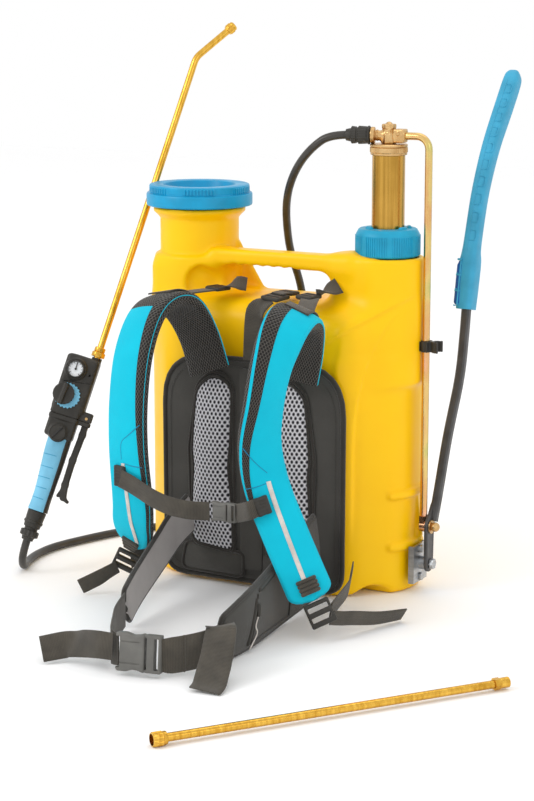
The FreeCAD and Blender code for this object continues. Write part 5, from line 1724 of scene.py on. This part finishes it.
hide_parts("handset_grip")
add_skin("handset_spine", spine_rings, [BLACK], "frame", sharp=40)
# Darker blue lines round the grip are painted shade standing in for its grooves.
groove_shade_lines = []
for z in (-152, -168, -184, -200, -214):
    k = int(np.argmin(np.abs(hand_line[:, 2] - z)))
    ring = np.array(soft_rings[k])
    middle = ring.mean(0)
    groove_shade_lines.append(tube(middle + (ring[9:32] - middle) * 1.005, 0.45, 5, True))
sewn("handset_grip_groove_shade", groove_shade_lines, GRIP_BLUE, "frame")


collar_foot = in_hand(vec(-12.8, 0, -232.4))
collar_axis = unit(in_hand(vec(-14.2, 0, -276)) - collar_foot)
collar = turned("handset_hose_nut", [(12.4, 0), (13.4, 0.8), (12.6, 14), (13.6, 15), (13.6, 18), (12.2, 18.8),
                                     (11.6, 24), (9.4, 24.8), (9.4, 28), (12.4, 28.8), (12.6, 29.4),
                                     (12.6, 36.4), (11.8, 37.2), (9.0, 38.2), (8.0, 43), (5.8, 43.4)],
                collar_foot, BLACK, "frame", axis=collar_axis, sides=144,
                wobble=knurl(12, 0.5, (10, 11)), sharp=32)
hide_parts("handset_hose_nut")


def trigger_field(q):
    x, y, z = xyz(q)
    flat = np.stack([x, 0 * y, z], -1)
    line = [(13.5, 0, -90), (14, 0, -112), (12.0, 0, -150), (12.6, 0, -186), (15.5, 0, -204)]
    blade = None
    for p0, p1 in zip(line, line[1:]):
        part = f_pill(flat, p0, p1, 4.6)
        blade = part if blade is None else meld(blade, part, 3)
    hook = f_pill(flat, (16, 0, -204), (23, 0, -208), 3.2, 2.2)
    heel = f_pill(flat, (12, 0, -192), (8, 0, -203), 3.0, 2.4)
    blade = meld(meld(blade, hook, 2), heel, 2)
    blade = both(blade, np.abs(y) - 6.0, 2.0)
    channel = np.maximum(f_pill(flat, (16, 0, -118), (15.5, 0, -184), 2.4), np.abs(y) - 3.6)
    boss = f_drum(q, (TRIGGER_X, -6.8, TRIGGER_Z), (TRIGGER_X, 6.8, TRIGGER_Z), 5.6, 0.8)
    blade = carve(meld(blade, boss, 2), channel, 1)
    return carve(blade, f_drum(q, (TRIGGER_X, -9, TRIGGER_Z), (TRIGGER_X, 9, TRIGGER_Z), 2.3), 0.3)


trigger = moulded("trigger", trigger_field, (4, -8, -214), (30, 8, -82), 1.0, BLACK, "trigger_lever",
                  in_hand, 40)
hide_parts("trigger")


lance_nut = hollow_turned("lance_nut", [(5.4, -1.4), (8.8, -1.2), (9.2, -0.4), (9.2, 5.2), (8.8, 5.9),
                                        (7.2, 6.4), (7.7, 7.0), (7.8, 7.4), (7.8, 12), (7.2, 13), (5.4, 13)],
                          HAND_FOOT, LANCE_BRASS, "frame", HAND_Z, 120,
                          knurl(6, -0.35, (1, 2, 3, 4)))
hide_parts("lance_nut")


# ---- nozzle and extension -----------------------------------------------------------------------------
BEND = HAND_FOOT + HAND_Z * 448
TIP_DIR = unit(HAND_X * 37.7 + HAND_Z * 61.4)
TIP = BEND + HAND_X * 37.7 + HAND_Z * 61.4


nozzle = turned("nozzle", [(5.2, -14), (6.4, -13.6), (6.6, -12), (7.2, -11.4), (7.2, -5), (6.6, -4.2),
                           (6.9, -3.2), (6.6, -1.6), (5.0, -0.2), (2.4, 0), (0.9, -0.8)], TIP, LANCE_BRASS,
                "spray_nozzle", axis=TIP_DIR, sides=120, wobble=knurl(24, 0.35, (3, 4)))
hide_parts("nozzle")
EXT_A = vec(186, -691, 8.2)
EXT_B = vec(458, -326, 8.2)
EXT_DIR = unit(EXT_B - EXT_A)


ext_nut = hollow_turned("extension_nut", [(6.6, 0), (8.0, 0.3), (8.2, 1.2), (8.2, 12.0), (7.4, 13), (7.9, 14),
                                          (7.6, 17), (5.6, 18), (5.3, 9.8), (6.6, 9.4)], EXT_A, LANCE_BRASS,
                        "extension_union", EXT_DIR, 112, knurl(28, 0.3, (2, 3)))
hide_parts("extension_nut")
